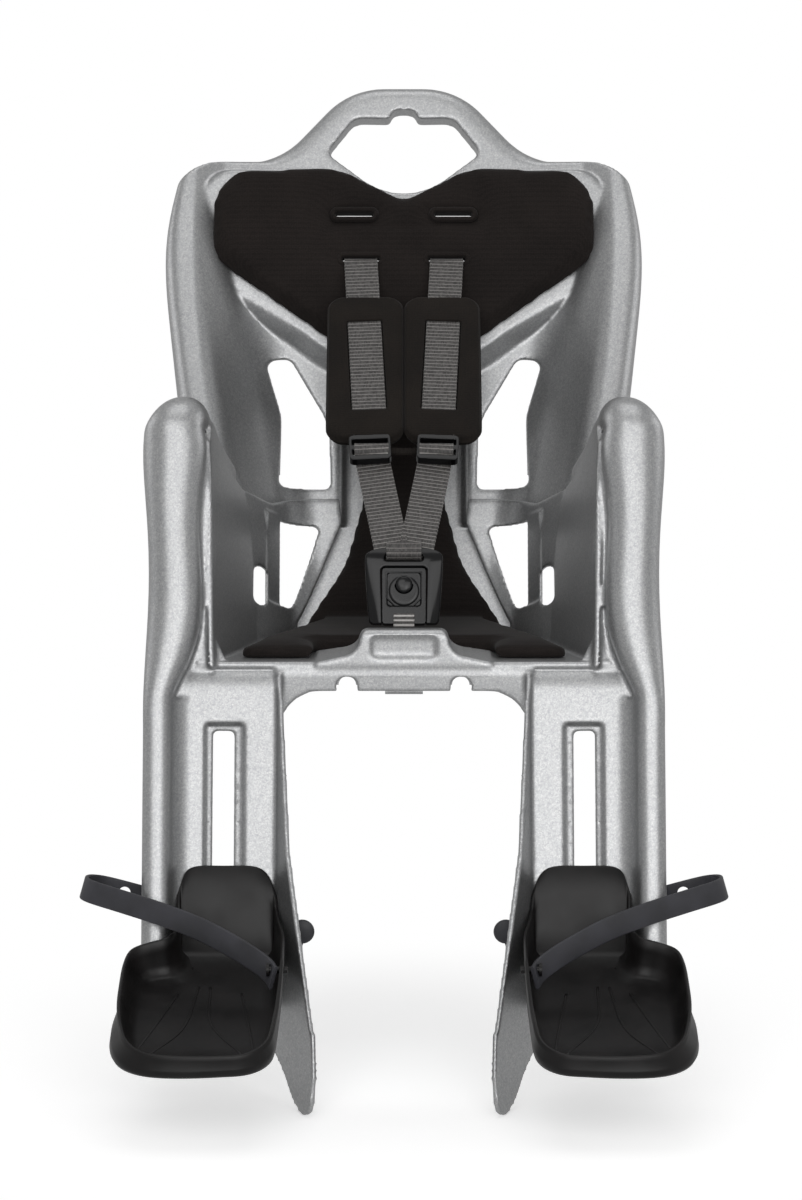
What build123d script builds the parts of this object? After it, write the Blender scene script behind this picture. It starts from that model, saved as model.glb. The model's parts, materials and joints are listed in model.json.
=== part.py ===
from build123d import *
import os
from math import cos, hypot, radians, sin, tan

# A child seat for the back of a bicycle, in millimetres.
# X runs across the seat, the child looks along -Y and Z is up.
# The origin lies midway between the mouths of the two bow saddles, on the rod centre line.

# General moulding sizes
WALL = 4.0
SEAT_GAP = 0.3
NEST_GAP = 1.4
SLIDE_GAP = 0.4

# Backrest
RECLINE = 18.0
BACK_FOOT_Y = 212.0
# Each row: height up the back, then the half widths of the flat panel, the wing's crest and
# its outer face, and the depth of the crest in front of the panel
WING_ROWS = (
    (60, 84, 107, 156, 80),
    (130, 91, 117, 164, 74),
    (200, 102, 136, 174, 60),
    (260, 112, 150, 181, 44),
    (310, 122, 158, 182.5, 30),
    (352, 130, 161, 176, 18),
    (392, 132, 158, 170, 12),
)
SPINE_HALF = 44.0
SPINE_DEPTH = 8.0
SPINE_SLOPE = 4.0
PANEL_RADIUS = 30.0
WING_BACK = 10.0
BACK_TOP = 379.0
BACK_CORNER = 34.0
BACK_HALF = 190.0
BACK_LOW = 92.0
TONGUE_TOP_HALF = 56.0
TONGUE_LOW_HALF = 88.0
TONGUE_LOW = 5.0
CROWN_LOW = 352.0
CROWN_HALF = 158.0
CROWN_FRONT = 3.0
CROWN_DEPTH = 20.0
CROWN_ROUND = 4.0
HANDLE_TOP = 439.0
HANDLE_TOP_HALF = 48.0
HANDLE_LOW_HALF = 90.0
HANDLE_ROUND = 32.0
GRIP_TOP = 409.0
GRIP_TOP_HALF = 29.0
GRIP_MIDDLE = 381.0
GRIP_HALF = 60.0
GRIP_LOW = 347.0
FINGER_NOTCH_R = 9.0
PLATEAU = 14.0
PLATEAU_SLOPE = 20.0

# Backrest windows and the slots for the shoulder straps
WINDOW_LOW = 119.5
WINDOW_TOP = 222.0
WINDOW_INNER = 56.5
WINDOW_OUTER = 93.0
WINDOW_ROUND = 4.0
SLOT_HIGH = 330.0
SLOT_HIGH_X = 38.0
SLOT_LOW = 294.5
SLOT_LOW_X = 33.0
SLOT_WIDTH = 34.0
SLOT_TALL = 7.0

# Tub
TUB_LOW = -80.0
TUB_LOW_FLAT = 76.0
TUB_LOW_CREST = 92.0
TUB_LOW_DEPTH = 86.0
TUB_FRONT_HALF = 146.0
TUB_FRONT_DEPTH = 230.0
TUB_SEAM = 112.0
HIP_RADIUS = 60.0
VEE_TOP_HALF = 47.0
VEE_LOW_HALF = 82.0
VEE_ROUND = 10.0
HIP_WINDOW_TOP = 89.0
HIP_WINDOW_LOW = 22.5
HIP_WINDOW_INNER = 64.0
HIP_WINDOW_OUTER = 95.0
BELT_SLOT_X = 107.5
BELT_SLOT_H = 32.0
BELT_SLOT_TALL = 28.0
BELT_SLOT_WIDE = 5.5

# Pan, apron and crotch hump
PAN_REAR_Z = 8.0
PAN_FRONT_Z = 18.0
PAN_REAR_HALF = 84.0
APRON_LOW = -3.0
APRON_ROUND = 9.0
APRON_HALF = 90.0
ARCH_ROUND = 30.0
LEG_ROUND = 26.0
HUMP_TOP = 41.0
HUMP_TOP_HALF = 30.0
HUMP_LOW_HALF = 62.0
HUMP_DEPTH = 60.0
HUMP_FLAT = 14.0
HUMP_RECESS_WIDE = 47.0
HUMP_RECESS_TALL = 16.0
HUMP_RECESS_DEEP = 3.0

# Legs and arms
LEG_SLOPE = 16.0
LEG_FACE_Y = -5.0
LEG_END = -225.0
LEG_TOP = -8.0
LEG_OUTER = 184.5
RIDGE_INNER = 166.0
RIDGE_FRONT = 22.0
LEG_BACK = 11.0
LEG_CHANNEL_R = 16.0
FIN_X = 88.0
FIN_TILT = 25.0
FIN_WIDTH = 62.0
FIN_LOW = -258.0
FIN_TIP = -301.0
ARM_TOP = 211.0
ARM_BEND_R = 26.0
ARM_TURN = 107.0
ARM_INNER = 141.5
ARM_OUTER = 186.0
ARM_WAIST_OUTER = 182.0
ARM_RUN = 100.0
ARM_END_INNER = 113.0
ARM_END_OUTER = 127.0
ARM_FLANK = 22.0
ARM_SINK = 12.0
ARM_LEAN_IN = 4.0
ARM_NARROW = 18.0
ARM_BEND_STEPS = 6

# Slot that the footrest slides in
RAIL_X = 126.3
RAIL_RECESS_WIDE = 27.5
RAIL_WIDE = 14.0
RAIL_DEEP = 4.0
RAIL_TOP = -25.0
RAIL_SLOT_TOP = -30.0
RAIL_SLOT_LOW = -195.0
RAIL_LOW = -205.0
RACK_PITCH = 12.0
RACK_TALL = 3.0
RACK_DEEP = 1.0
RACK_MARKS = 12

# Footrest
FOOT_WALL = 3.0
FOOT_PITCH = 30.0
FOOT_HEEL_UP = -192.0
FOOT_HEEL_HALF = 33.5
FOOT_LENGTH = 168.0
FOOT_TOE_OUT = 190.0
FOOT_TOE_IN = 86.0
FOOT_FLARE_OUT = 180.0
FOOT_FLARE_IN = 84.0
FOOT_FLARE = 4.0
FOOT_TOE_ROUND = 30.0
FOOT_BACK_TOP = -127.0
FOOT_BACK_HALF = 34.0
FOOT_BACK_ROUND = 27.0
FOOT_INNER_WALL = 42.0
FOOT_OUTER_WALL = 22.0
FOOT_TOE_WALL = 17.0
FOOT_SIDE_WALL = 36.0
NECK_TALL = 40.0
NECK_UP = -163.0
CARRIAGE_WIDE = 30.0
CARRIAGE_TALL = 50.0
CARRIAGE_THICK = 4.0
SCREW_R = 2.0
SCREW_HEAD_R = 4.0
SCREW_HEAD = 2.5
SCREW_SPACING = 30.0
SCREW_GAP = 0.1
BACK_SCREW_IN = 57.0
BACK_SCREW_OUT = 80.0

# Foot strap
STRAP_WIDE = 15.0
STRAP_THICK = 2.5
STRAP_ROLL = 16.0
STRAP_Y = -25.0
STRAP_Z = -164.0
STUD_R = 3.0
STUD_HEAD_R = 5.0
STUD_HEAD = 2.0
STUD_GAP = 1.2
STRAP_TAIL = -57.0
STRAP_OUT = 98.0
STRAP_IN = -38.3
STRAP_IN_FORWARD = 118.0
STRAP_HOLES = 4
STRAP_HOLE_PITCH = 25.0
RIVET_R = 2.5
RIVET_HEAD_R = 4.5
RIVET_HEAD = 2.0
RIVET_REACH = 4.0

# Pad
PAD_THICK = 9.0
PAD_WAIST_HALF = 32.0
PAD_TOP = 367.0
PAD_NOTCH = 342.0
PAD_LOBE_HALF = 151.0
PAD_TUCK = 19.0
PAD_FRONT_HALF = 120.0
PAD_REAR_HALF = 78.0
PAD_FRONT_Y = 22.0

# Harness
WEB_WIDE = 25.5
WEB_THICK = 1.8
WEB_LEAN = 2.7
SHOULDER_PAD_WIDE = 57.0
SHOULDER_PAD_X = 29.0
SHOULDER_PAD_FROM = 38.0
SHOULDER_PAD_TO = 178.0
SHOULDER_PAD_THICK = 10.0
ADJUSTER_WIDE = 31.0
ADJUSTER_TALL = 23.0
ADJUSTER_THICK = 7.0
ADJUSTER_BAR = 4.0
ADJUSTER_DOWN = 192.0
STRAP_END_GAP = 2.0
KEEPER_DOWN = 188.0
KEEPER_WIDE = 40.0
KEEPER_TALL = 6.5
VEE_STRAP_X = 9.0
CROTCH_Y = 108.0
CROTCH_WIDE = 16.0
CROTCH_SLOT = 5.0
ANCHOR_BAR_R = 2.5
ANCHOR_BAR_LENGTH = 44.0

# Buckle
BUCKLE_Y = 70.0
BUCKLE_Z = 34.0
BUCKLE_LEAN = 15.0
YOKE_WIDE = 58.0
YOKE_TOP_WIDE = 46.0
YOKE_TALL = 56.0
YOKE_THICK = 9.0
YOKE_ROUND = 9.0
YOKE_OPEN_WIDE = 33.0
YOKE_OPEN_TALL = 42.0
YOKE_SLOT_WIDE = 28.0
YOKE_SLOT_TALL = 5.0
YOKE_BAR = 5.0
TONGUE_WIDE = 16.0
TONGUE_TALL = 24.0
TONGUE_BACK = 1.3
TONGUE_THICK = 1.5
CASE_GAP = 0.3
CASE_BACK = 1.0
COVER_THICK = 2.5
PANEL_WIDE = 25.0
BUTTON_UP = 29.0
BUTTON_DISH = 0.8
BUTTON_DISH_R = 20.0
BUTTON_R = 6.5
BUTTON_GAP = 0.05
BUTTON_PROUD = 1.5
BUTTON_TALL = 3.5
SPRING_R = 4.0
SPRING_WIRE = 1.2

# Carrier bow bracket under the pan
BOW_SPACING = 81.0
BOW_R = 6.0
BOW_GAP = 0.25
BRACKET_HALF = 66.0
BRACKET_FRONT = 10.0
BRACKET_REAR = 98.0
KEEL_HALF = 13.5
KEEL_LOW = -7.0
BOW_NOTCH_R = 7.3

X_AXIS = Vector(1, 0, 0)
BACK = Plane(origin=(0, BACK_FOOT_Y, 0), x_dir=(1, 0, 0),
             z_dir=(0, -cos(radians(RECLINE)), sin(radians(RECLINE))))
LEG = Plane(origin=(0, LEG_FACE_Y, 0), x_dir=(1, 0, 0),
            z_dir=(0, -cos(radians(LEG_SLOPE)), sin(radians(LEG_SLOPE))))

BUCKLE = Plane(origin=(0, BUCKLE_Y, BUCKLE_Z), x_dir=(1, 0, 0),
               z_dir=(0, -cos(radians(BUCKLE_LEAN)), sin(radians(BUCKLE_LEAN))))
STRAP = Plane(origin=(RAIL_X, STRAP_Y, STRAP_Z), x_dir=(cos(radians(STRAP_ROLL)), 0, sin(radians(STRAP_ROLL))),
              z_dir=(sin(radians(STRAP_ROLL)), 0, -cos(radians(STRAP_ROLL))))
FOOT_OUT = LEG.z_dir * sin(radians(FOOT_PITCH)) + LEG.y_dir * cos(radians(FOOT_PITCH))
FOOT_HEEL = LEG.from_local_coords(Vector(0, FOOT_HEEL_UP, SLIDE_GAP + FOOT_WALL))
FOOT = Plane(origin=FOOT_HEEL, x_dir=(1, 0, 0), z_dir=FOOT_OUT)
HARNESS_TOP = BACK.from_local_coords(Vector(0, SLOT_LOW, PLATEAU + PAD_THICK + 4))
HARNESS_FOOT = BUCKLE.from_local_coords(Vector(0, YOKE_TALL, YOKE_THICK / 2))
HARNESS_UP = (HARNESS_TOP - HARNESS_FOOT).normalized()
HARNESS = Plane(origin=HARNESS_TOP, x_dir=(1, 0, 0), z_dir=X_AXIS.cross(HARNESS_UP))


def level_plane(frame, up, forward=0.0):
    """Cross-section plane of a sloping frame: local X runs across and local Y runs forward."""
    origin = frame.from_local_coords(Vector(0, up, forward))
    return Plane(origin=origin, x_dir=(1, 0, 0), z_dir=frame.y_dir * -1)


def shifted(points, amount):
    """Open polyline moved sideways to its left, with mitred corners."""
    steps = [(b[0] - a[0], b[1] - a[1]) for a, b in zip(points, points[1:])]
    normals = [(-dy / hypot(dx, dy), dx / hypot(dx, dy)) for dx, dy in steps]
    before = [normals[0]] + normals
    after = normals + [normals[-1]]
    moved = []
    for point, one, two in zip(points, before, after):
        share = amount / (1 + one[0] * two[0] + one[1] * two[1])
        moved.append((point[0] + share * (one[0] + two[0]), point[1] + share * (one[1] + two[1])))
    return moved


def path_edges(points, radii, close=False):
    """Straight runs joined by tangent arcs; a radius of 0 leaves a corner sharp."""
    spots = [Vector(*point) for point in points]
    count = len(spots)
    cuts = []
    for index, (spot, radius) in enumerate(zip(spots, radii)):
        if radius == 0:
            cuts.append((spot, None, spot))
            continue
        back = (spots[index - 1] - spot).normalized()
        ahead = (spots[(index + 1) % count] - spot).normalized()
        half = radians(back.get_angle(ahead)) / 2
        reach = radius / tan(half)
        middle = spot + (back + ahead).normalized() * (radius / sin(half) - radius)
        cuts.append((spot + back * reach, middle, spot + ahead * reach))
    edges = []
    for index, (start, middle, end) in enumerate(cuts):
        if middle is not None:
            edges.append(Edge.make_three_point_arc(start, middle, end))
        if close or index < count - 1:
            edges.append(Edge.make_line(end, cuts[(index + 1) % count][0]))
    return edges


def band(points, radii, near, far):
    """Section of a bent sheet: the strip between two sideways offsets of a rounded path."""
    turns = []
    for a, b, c in zip(points, points[1:], points[2:]):
        cross = (b[0] - a[0]) * (c[1] - b[1]) - (b[1] - a[1]) * (c[0] - b[0])
        turns.append(1 if cross > 0 else -1)
    near_radii = [r - near * turn for r, turn in zip(radii, turns)]
    far_radii = [r - far * turn for r, turn in zip(radii, turns)]
    one = Wire(path_edges(shifted(points, near), [0] + near_radii + [0]))
    two = Wire(path_edges(shifted(points, far), [0] + far_radii + [0]))
    return make_face(one.edges() + [Line(one @ 1, two @ 1), Line(two @ 0, one @ 0)] + two.edges())


def mirrored_path(half):
    """Symmetrical polyline from the right-hand half, which starts beside the middle."""
    return [(-x, y) for x, y in reversed(half)] + list(half)


def rounded(points, radii):
    """Face inside a closed polyline with a radius at each corner."""
    return make_face(path_edges(points, radii, close=True))


def symmetrical(half, radii):
    """Face from a right-hand half outline whose first and last points lie on the middle line."""
    points = list(half) + [(-x, y) for x, y in reversed(half[1:-1])]
    return rounded(points, list(radii) + list(reversed(radii[1:-1])))


def pulled(frame, face, start, end):
    """Solid from a face drawn on a frame, between two heights above it."""
    return extrude(frame * Pos(0, 0, start) * face, amount=end - start, dir=frame.z_dir)


def side_solid(points, radii, half_width):
    """Solid from an outline in the YZ plane, spread evenly to both sides of the middle."""
    frame = Plane(origin=(0, 0, 0), x_dir=(0, 1, 0), z_dir=(1, 0, 0))
    return pulled(frame, rounded(points, radii), -half_width, half_width)


def both(shape):
    """A right-hand shape together with its mirror image."""
    return [shape, mirror(shape, about=Plane.YZ)]


def between(rows, height):
    """Row of a table at any height, by straight interpolation between its neighbours."""
    low, high = rows[0], rows[1]
    for one, two in zip(rows, rows[1:]):
        if height >= one[0]:
            low, high = one, two
    share = (height - low[0]) / (high[0] - low[0])
    return [a + share * (b - a) for a, b in zip(low, high)]


def pan_z(y):
    """Height of the upper face of the pan."""
    return PAN_FRONT_Z + (PAN_REAR_Z - PAN_FRONT_Z) * y / BACK_FOOT_Y


def back_section(height):
    """Section of the backrest at one height: spine, panels, wings and their rolled rims."""
    _, flat, crest, outer, depth = between(WING_ROWS, height)
    rim = 0.45 * (outer - crest)
    half = [(SPINE_HALF, -SPINE_DEPTH), (SPINE_HALF + SPINE_SLOPE, 0), (flat, 0), (crest, depth),
            (outer, depth), (outer, -WING_BACK)]
    radii = [SPINE_SLOPE, WALL + 2, PANEL_RADIUS, rim, rim]
    face = band(mirrored_path(half), list(reversed(radii)) + radii, -WALL, 0)
    return level_plane(BACK, height) * face


def heart(spread, drop, tuck=5.0):
    """Outline of the shoulder rest: two lobes with a notch above and a point below."""
    half = [(0, PAD_NOTCH - 2), (50, PAD_TOP - 3), (PAD_LOBE_HALF + spread, PAD_TOP + spread),
            (PAD_LOBE_HALF - tuck + spread, 300 - drop), (62 + spread, 236 - drop), (0, 196 - drop)]
    return symmetrical(half, [16, 60, 24, 50, 30, 12])


def crown_outline(inset):
    """Top edge of the backrest with the carrying handle standing on it."""
    half = [(0, CROWN_LOW - inset), (CROWN_HALF - inset, CROWN_LOW - inset),
            (CROWN_HALF - inset, BACK_TOP - inset), (HANDLE_LOW_HALF - inset, BACK_TOP - inset),
            (HANDLE_TOP_HALF - inset, HANDLE_TOP - inset), (0, HANDLE_TOP - inset)]
    return symmetrical(half, [0, 0, 10, HANDLE_ROUND + inset, HANDLE_ROUND - inset, 0])


def grip_outline(margin):
    """Opening of the carrying handle."""
    half = [(0, GRIP_LOW - margin), (GRIP_HALF + margin, GRIP_MIDDLE),
            (GRIP_TOP_HALF + margin, GRIP_TOP + margin), (0, GRIP_TOP + margin)]
    return symmetrical(half, [16, 7, 12, 0])


def backrest_shell():
    """Upper moulding: wings, shoulder rest, carrying handle, windows and tongue."""
    shell = loft([back_section(row[0]) for row in WING_ROWS])
    half = [(0, BACK_LOW), (BACK_HALF, BACK_LOW), (BACK_HALF, BACK_TOP), (0, BACK_TOP)]
    shell &= pulled(BACK, symmetrical(half, [0, 0, BACK_CORNER, 0]), -60, 140)
    tongue = symmetrical([(0, TONGUE_LOW), (TONGUE_LOW_HALF, TONGUE_LOW), (TONGUE_TOP_HALF, BACK_LOW),
                          (SPINE_HALF, WINDOW_LOW), (0, WINDOW_LOW)], [0, 4, 20, 0, 0])
    shell += pulled(BACK, tongue, -SPINE_DEPTH - WALL, -SPINE_DEPTH)
    crown = pulled(BACK, crown_outline(0), CROWN_FRONT - CROWN_DEPTH, CROWN_FRONT)
    crown -= pulled(BACK, grip_outline(0), -60, 60)
    crown = fillet(crown.faces().sort_by(Axis(BACK.origin, BACK.z_dir))[-1].edges(), CROWN_ROUND)
    hollow = pulled(BACK, crown_outline(WALL), CROWN_FRONT - CROWN_DEPTH, CROWN_FRONT - WALL)
    crown -= hollow - pulled(BACK, grip_outline(WALL), -60, 60)
    notch = Circle(FINGER_NOTCH_R)
    crown -= pulled(BACK, Pos(0, GRIP_TOP) * notch, -60, 60)
    rest = loft([BACK * Pos(0, 0, -1) * heart(5, PLATEAU_SLOPE), BACK * Pos(0, 0, PLATEAU) * heart(4, 5)])
    inner = loft([BACK * Pos(0, 0, -60) * heart(1, PLATEAU_SLOPE + WALL - 9),
                  BACK * Pos(0, 0, PLATEAU - WALL) * heart(0, 0)])
    shell = shell - pulled(BACK, grip_outline(0), -60, 60) + crown + rest - inner
    for shape in both(window_face()) + strap_slots():
        shell -= pulled(BACK, shape, -60, 60)
    return shell - backrest_screw_holes()


def window_face():
    """Upper window, wide at the foot and leaning out to a narrow top."""
    points = [(WINDOW_OUTER, WINDOW_LOW), (WINDOW_INNER, WINDOW_LOW), (WINDOW_INNER + 1, WINDOW_TOP - 52),
              (WINDOW_OUTER - 5, WINDOW_TOP), (WINDOW_OUTER + 13, WINDOW_TOP - 3),
              (WINDOW_OUTER, WINDOW_TOP - 47)]
    return rounded(points, [WINDOW_ROUND, WINDOW_ROUND, 50, 8, 7, 50])


def strap_slots():
    """Two pairs of slots for the shoulder straps, one pair above the other."""
    slot = SlotOverall(SLOT_WIDTH, SLOT_TALL)
    places = ((SLOT_HIGH_X, SLOT_HIGH), (SLOT_LOW_X, SLOT_LOW))
    return [Pos(side * x, h) * slot for x, h in places for side in (-1, 1)]


def backrest_screw_places():
    """Spots on the overlap of the two mouldings, each seen from behind."""
    height = (HIP_WINDOW_TOP + TUB_SEAM) / 2 + 2
    return [(x, height) for x in (-BACK_SCREW_OUT, -BACK_SCREW_IN, BACK_SCREW_IN, BACK_SCREW_OUT)]


def backrest_screw_holes():
    """Blind holes for the backrest screws, through the backrest and into the tub."""
    hole = Circle(SCREW_R + SCREW_GAP)
    tip = NEST_GAP + WALL - 1
    return [pulled(BACK, Pos(*place) * hole, -WALL - 1, tip) for place in backrest_screw_places()]


def backrest_screws():
    """Pan-head screws that hold the backrest to the tub from behind."""
    screws = []
    for place in backrest_screw_places():
        shank = pulled(BACK, Pos(*place) * Circle(SCREW_R), -WALL, NEST_GAP + WALL - 1 - SEAT_GAP)
        screws.append(shank + pulled(BACK, Pos(*place) * Circle(SCREW_HEAD_R), -WALL - SCREW_HEAD, -WALL))
    return Compound(children=screws)


def tub_section(height):
    """Section of the tub: back wall and hip walls, nested inside the backrest."""
    if height < WING_ROWS[0][0]:
        flat, crest, depth = TUB_LOW_FLAT, TUB_LOW_CREST, TUB_LOW_DEPTH
    else:
        _, flat, crest, _, depth = between(WING_ROWS, height)
    half = [(flat, 0), (crest, depth), (TUB_FRONT_HALF, TUB_FRONT_DEPTH)]
    radii = [PANEL_RADIUS, HIP_RADIUS]
    face = band(mirrored_path(half), list(reversed(radii)) + radii, NEST_GAP, NEST_GAP + WALL)
    return level_plane(BACK, height) * face


def tub():
    """Back wall and hip walls, trimmed to the seam, with the opening for the spine, windows and slots."""
    walls = loft([tub_section(h) for h in (TUB_LOW, 60, 130, 200, 260)])
    seam = BACK.from_local_coords(Vector(0, TUB_SEAM, 0))
    arm_back = arm_spot(ARM_TURN, ARM_RUN)
    arm_top = arm_spot(ARM_TURN, 0)
    front = LEG.from_local_coords(Vector(0, ARM_TOP - 30, 2))
    low = LEG.from_local_coords(Vector(0, 10, 2))
    outline = [(low.Y, pan_z(low.Y) - WALL), (front.Y, front.Z), (arm_top.Y, arm_top.Z - ARM_SINK),
               (arm_back.Y, arm_back.Z - ARM_SINK), (seam.Y - 36, seam.Z), (seam.Y + 20, seam.Z),
               (BACK_FOOT_Y + 10, pan_z(BACK_FOOT_Y) - WALL)]
    walls &= side_solid(outline, [0, 20, 20, 0, 40, 0, 0], TUB_FRONT_HALF + 20)
    vee = symmetrical([(0, TONGUE_LOW), (VEE_LOW_HALF, TONGUE_LOW), (VEE_TOP_HALF, HIP_WINDOW_TOP + 3),
                       (VEE_TOP_HALF + 4, TUB_SEAM + 20), (0, TUB_SEAM + 20)], [0, 6, VEE_ROUND, 0, 0])
    walls -= pulled(BACK, vee, -60, 60)
    points = [(HIP_WINDOW_OUTER, HIP_WINDOW_TOP), (HIP_WINDOW_INNER, HIP_WINDOW_TOP),
              (HIP_WINDOW_INNER + 19, HIP_WINDOW_LOW), (HIP_WINDOW_OUTER, HIP_WINDOW_LOW)]
    belt = SlotOverall(BELT_SLOT_TALL, BELT_SLOT_WIDE, rotation=90)
    for face in both(rounded(points, [WINDOW_ROUND] * 4)) + both(Pos(BELT_SLOT_X, BELT_SLOT_H) * belt):
        walls -= pulled(BACK, face, -60, 90)
    return walls


def arm_spot(turn, run):
    """Point on the crest line of the arm, after a turn over its top and a straight run back."""
    out = (cos(radians(turn)), sin(radians(turn)))
    forward = RIDGE_FRONT - ARM_BEND_R + ARM_BEND_R * out[0] - run * out[1]
    up = ARM_TOP - ARM_BEND_R + ARM_BEND_R * out[1] + run * out[0]
    return LEG.from_local_coords(Vector(0, up, forward))


def arm_section(spot, turn, inner, outer, flank):
    """Section of the arm's rolled rim, square to its crest line."""
    out = LEG.z_dir * cos(radians(turn)) + LEG.y_dir * sin(radians(turn))
    plane = Plane(origin=spot, x_dir=(1, 0, 0), z_dir=X_AXIS.cross(out))
    rim = 0.46 * (outer - inner)
    points = [(inner, -flank), (inner, 0), (outer, 0), (outer, -flank)]
    return plane * band(points, [rim, rim], -WALL, 0)


def arm():
    """Right-hand arm: a rolled rim that rises from the leg, turns over and dies into the hip wall."""
    deep = RIDGE_FRONT + LEG_BACK
    rows = ((-30, RIDGE_INNER, LEG_OUTER, deep), (0, RIDGE_INNER - 5, LEG_OUTER, deep),
            (38, ARM_INNER + 4, LEG_OUTER - 1.5, deep), (90, ARM_INNER + 2, ARM_WAIST_OUTER, deep),
            (150, ARM_INNER, ARM_OUTER, deep), (ARM_TOP - ARM_BEND_R, ARM_INNER, ARM_OUTER, ARM_FLANK))
    rise = [arm_section(LEG.from_local_coords(Vector(0, up, RIDGE_FRONT)), 0, inner, outer, flank)
            for up, inner, outer, flank in rows]
    bend = []
    for step in range(ARM_BEND_STEPS + 1):
        share = step / ARM_BEND_STEPS
        turn = ARM_TURN * share
        bend.append(arm_section(arm_spot(turn, 0), turn, ARM_INNER - ARM_LEAN_IN * share,
                                ARM_OUTER - ARM_NARROW * share ** 2, ARM_FLANK))
    middle = arm_section(arm_spot(ARM_TURN, ARM_RUN / 2), ARM_TURN, ARM_INNER - 15, ARM_OUTER - 38, ARM_FLANK - 4)
    end = arm_section(arm_spot(ARM_TURN, ARM_RUN), ARM_TURN, ARM_END_INNER, ARM_END_OUTER, ARM_SINK)
    return loft(rise) + loft(bend) + loft([bend[-1], middle, end])


def fin_section(up, start, end, tilt):
    """Section of the inner fin of a leg, tilted towards the wheel."""
    along = (-sin(radians(tilt)), cos(radians(tilt)))
    points = [(FIN_X + along[0] * p + along[1] * side, along[1] * p - along[0] * side)
              for p, side in ((start, -WALL / 2), (end, -WALL / 2), (end, WALL / 2), (start, WALL / 2))]
    return level_plane(LEG, up) * make_face(Polyline(*points, close=True))


def leg_channel(face, end):
    """Bent wall of the right-hand leg, from its top down to an end, with its front face moved back."""
    points = [(LEG_OUTER, -LEG_BACK), (LEG_OUTER, RIDGE_FRONT), (RIDGE_INNER, RIDGE_FRONT),
              (RIDGE_INNER - 4, 0), (FIN_X, 0)]
    rim = 0.46 * (LEG_OUTER - RIDGE_INNER)
    section = band(points, [rim, rim, LEG_CHANNEL_R], face, WALL)
    return extrude(level_plane(LEG, LEG_TOP) * section, amount=LEG_TOP - end, dir=LEG.y_dir * -1)


def leg():
    """Right-hand leg: a channel with an outer ridge, an inner fin and the footrest's rail."""
    channel = leg_channel(0, LEG_END)
    fin = loft([fin_section(10, -WALL, 1, 2), fin_section(-120, -WALL, 0.46 * FIN_WIDTH, 0.55 * FIN_TILT),
                fin_section(FIN_LOW, -2, FIN_WIDTH, FIN_TILT),
                fin_section(FIN_TIP, FIN_WIDTH - 16, FIN_WIDTH - 6, FIN_TILT)], ruled=True)
    rail = Pos(RAIL_X, (RAIL_TOP + RAIL_LOW) / 2) * Rectangle(RAIL_RECESS_WIDE + 2 * WALL, RAIL_TOP - RAIL_LOW + 2 * WALL)
    recess = Pos(RAIL_X, (RAIL_TOP + RAIL_LOW) / 2) * Rectangle(RAIL_RECESS_WIDE, RAIL_TOP - RAIL_LOW)
    slot = Pos(RAIL_X, (RAIL_SLOT_TOP + RAIL_SLOT_LOW) / 2) * Rectangle(RAIL_WIDE, RAIL_SLOT_TOP - RAIL_SLOT_LOW)
    solid = channel + fin + pulled(LEG, rail, -RAIL_DEEP - WALL, -WALL / 2)
    solid -= pulled(LEG, recess, -RAIL_DEEP, WALL)
    solid -= pulled(LEG, slot, -RAIL_DEEP - 2 * WALL, WALL)
    ledge = (RAIL_RECESS_WIDE - RAIL_WIDE) / 2
    mark = Rectangle(ledge - 2, RACK_TALL)
    for step in range(RACK_MARKS):
        for side in (-1, 1):
            spot = Pos(RAIL_X + side * (RAIL_WIDE + ledge) / 2, RAIL_SLOT_TOP - 6 - step * RACK_PITCH)
            solid -= pulled(LEG, spot * mark, -RAIL_DEEP - RACK_DEEP, -RAIL_DEEP + 1)
    return solid


def pan():
    """Seat pan with its rounded front edge, the apron between the legs and the tops of the legs."""
    plan = symmetrical([(0, BACK_FOOT_Y), (PAN_REAR_HALF, BACK_FOOT_Y), (TUB_LOW_CREST + 8, 130),
                        (TUB_FRONT_HALF, 2), (0, 2)], [0, 20, 60, 0, 0])
    top = side_solid([(0, pan_z(0)), (0, pan_z(0) - WALL), (BACK_FOOT_Y, pan_z(BACK_FOOT_Y) - WALL),
                      (BACK_FOOT_Y, pan_z(BACK_FOOT_Y))], [0, 0, 0, 0], TUB_FRONT_HALF + 20)
    solid = top & extrude(plan, amount=200, both=True)
    frame = Plane(origin=(0, 0, 0), x_dir=(0, 1, 0), z_dir=(1, 0, 0))
    edge = [(60, pan_z(60)), (0, pan_z(0)), (0, APRON_LOW - ARCH_ROUND)]
    solid += pulled(frame, band(edge, [APRON_ROUND], 0, WALL), -APRON_HALF, APRON_HALF)
    arch = symmetrical([(0, APRON_LOW), (FIN_X, APRON_LOW), (FIN_X, -60), (0, -60)], [0, ARCH_ROUND, 0, 0])
    solid -= extrude(Plane.XZ * arch, amount=60, both=True)
    low = LEG.from_local_coords(Vector(0, LEG_TOP - 4, 0))
    knee = [(70, pan_z(70)), (LEG_FACE_Y + pan_z(0) * tan(radians(LEG_SLOPE)), pan_z(0)), (low.Y, low.Z)]
    knee_band = band(knee, [LEG_ROUND], 0, WALL)
    for side in (-1, 1):
        ends = sorted((side * FIN_X, side * (RIDGE_INNER - 2)))
        solid += pulled(frame, knee_band, ends[0], ends[1])
    return solid


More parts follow.
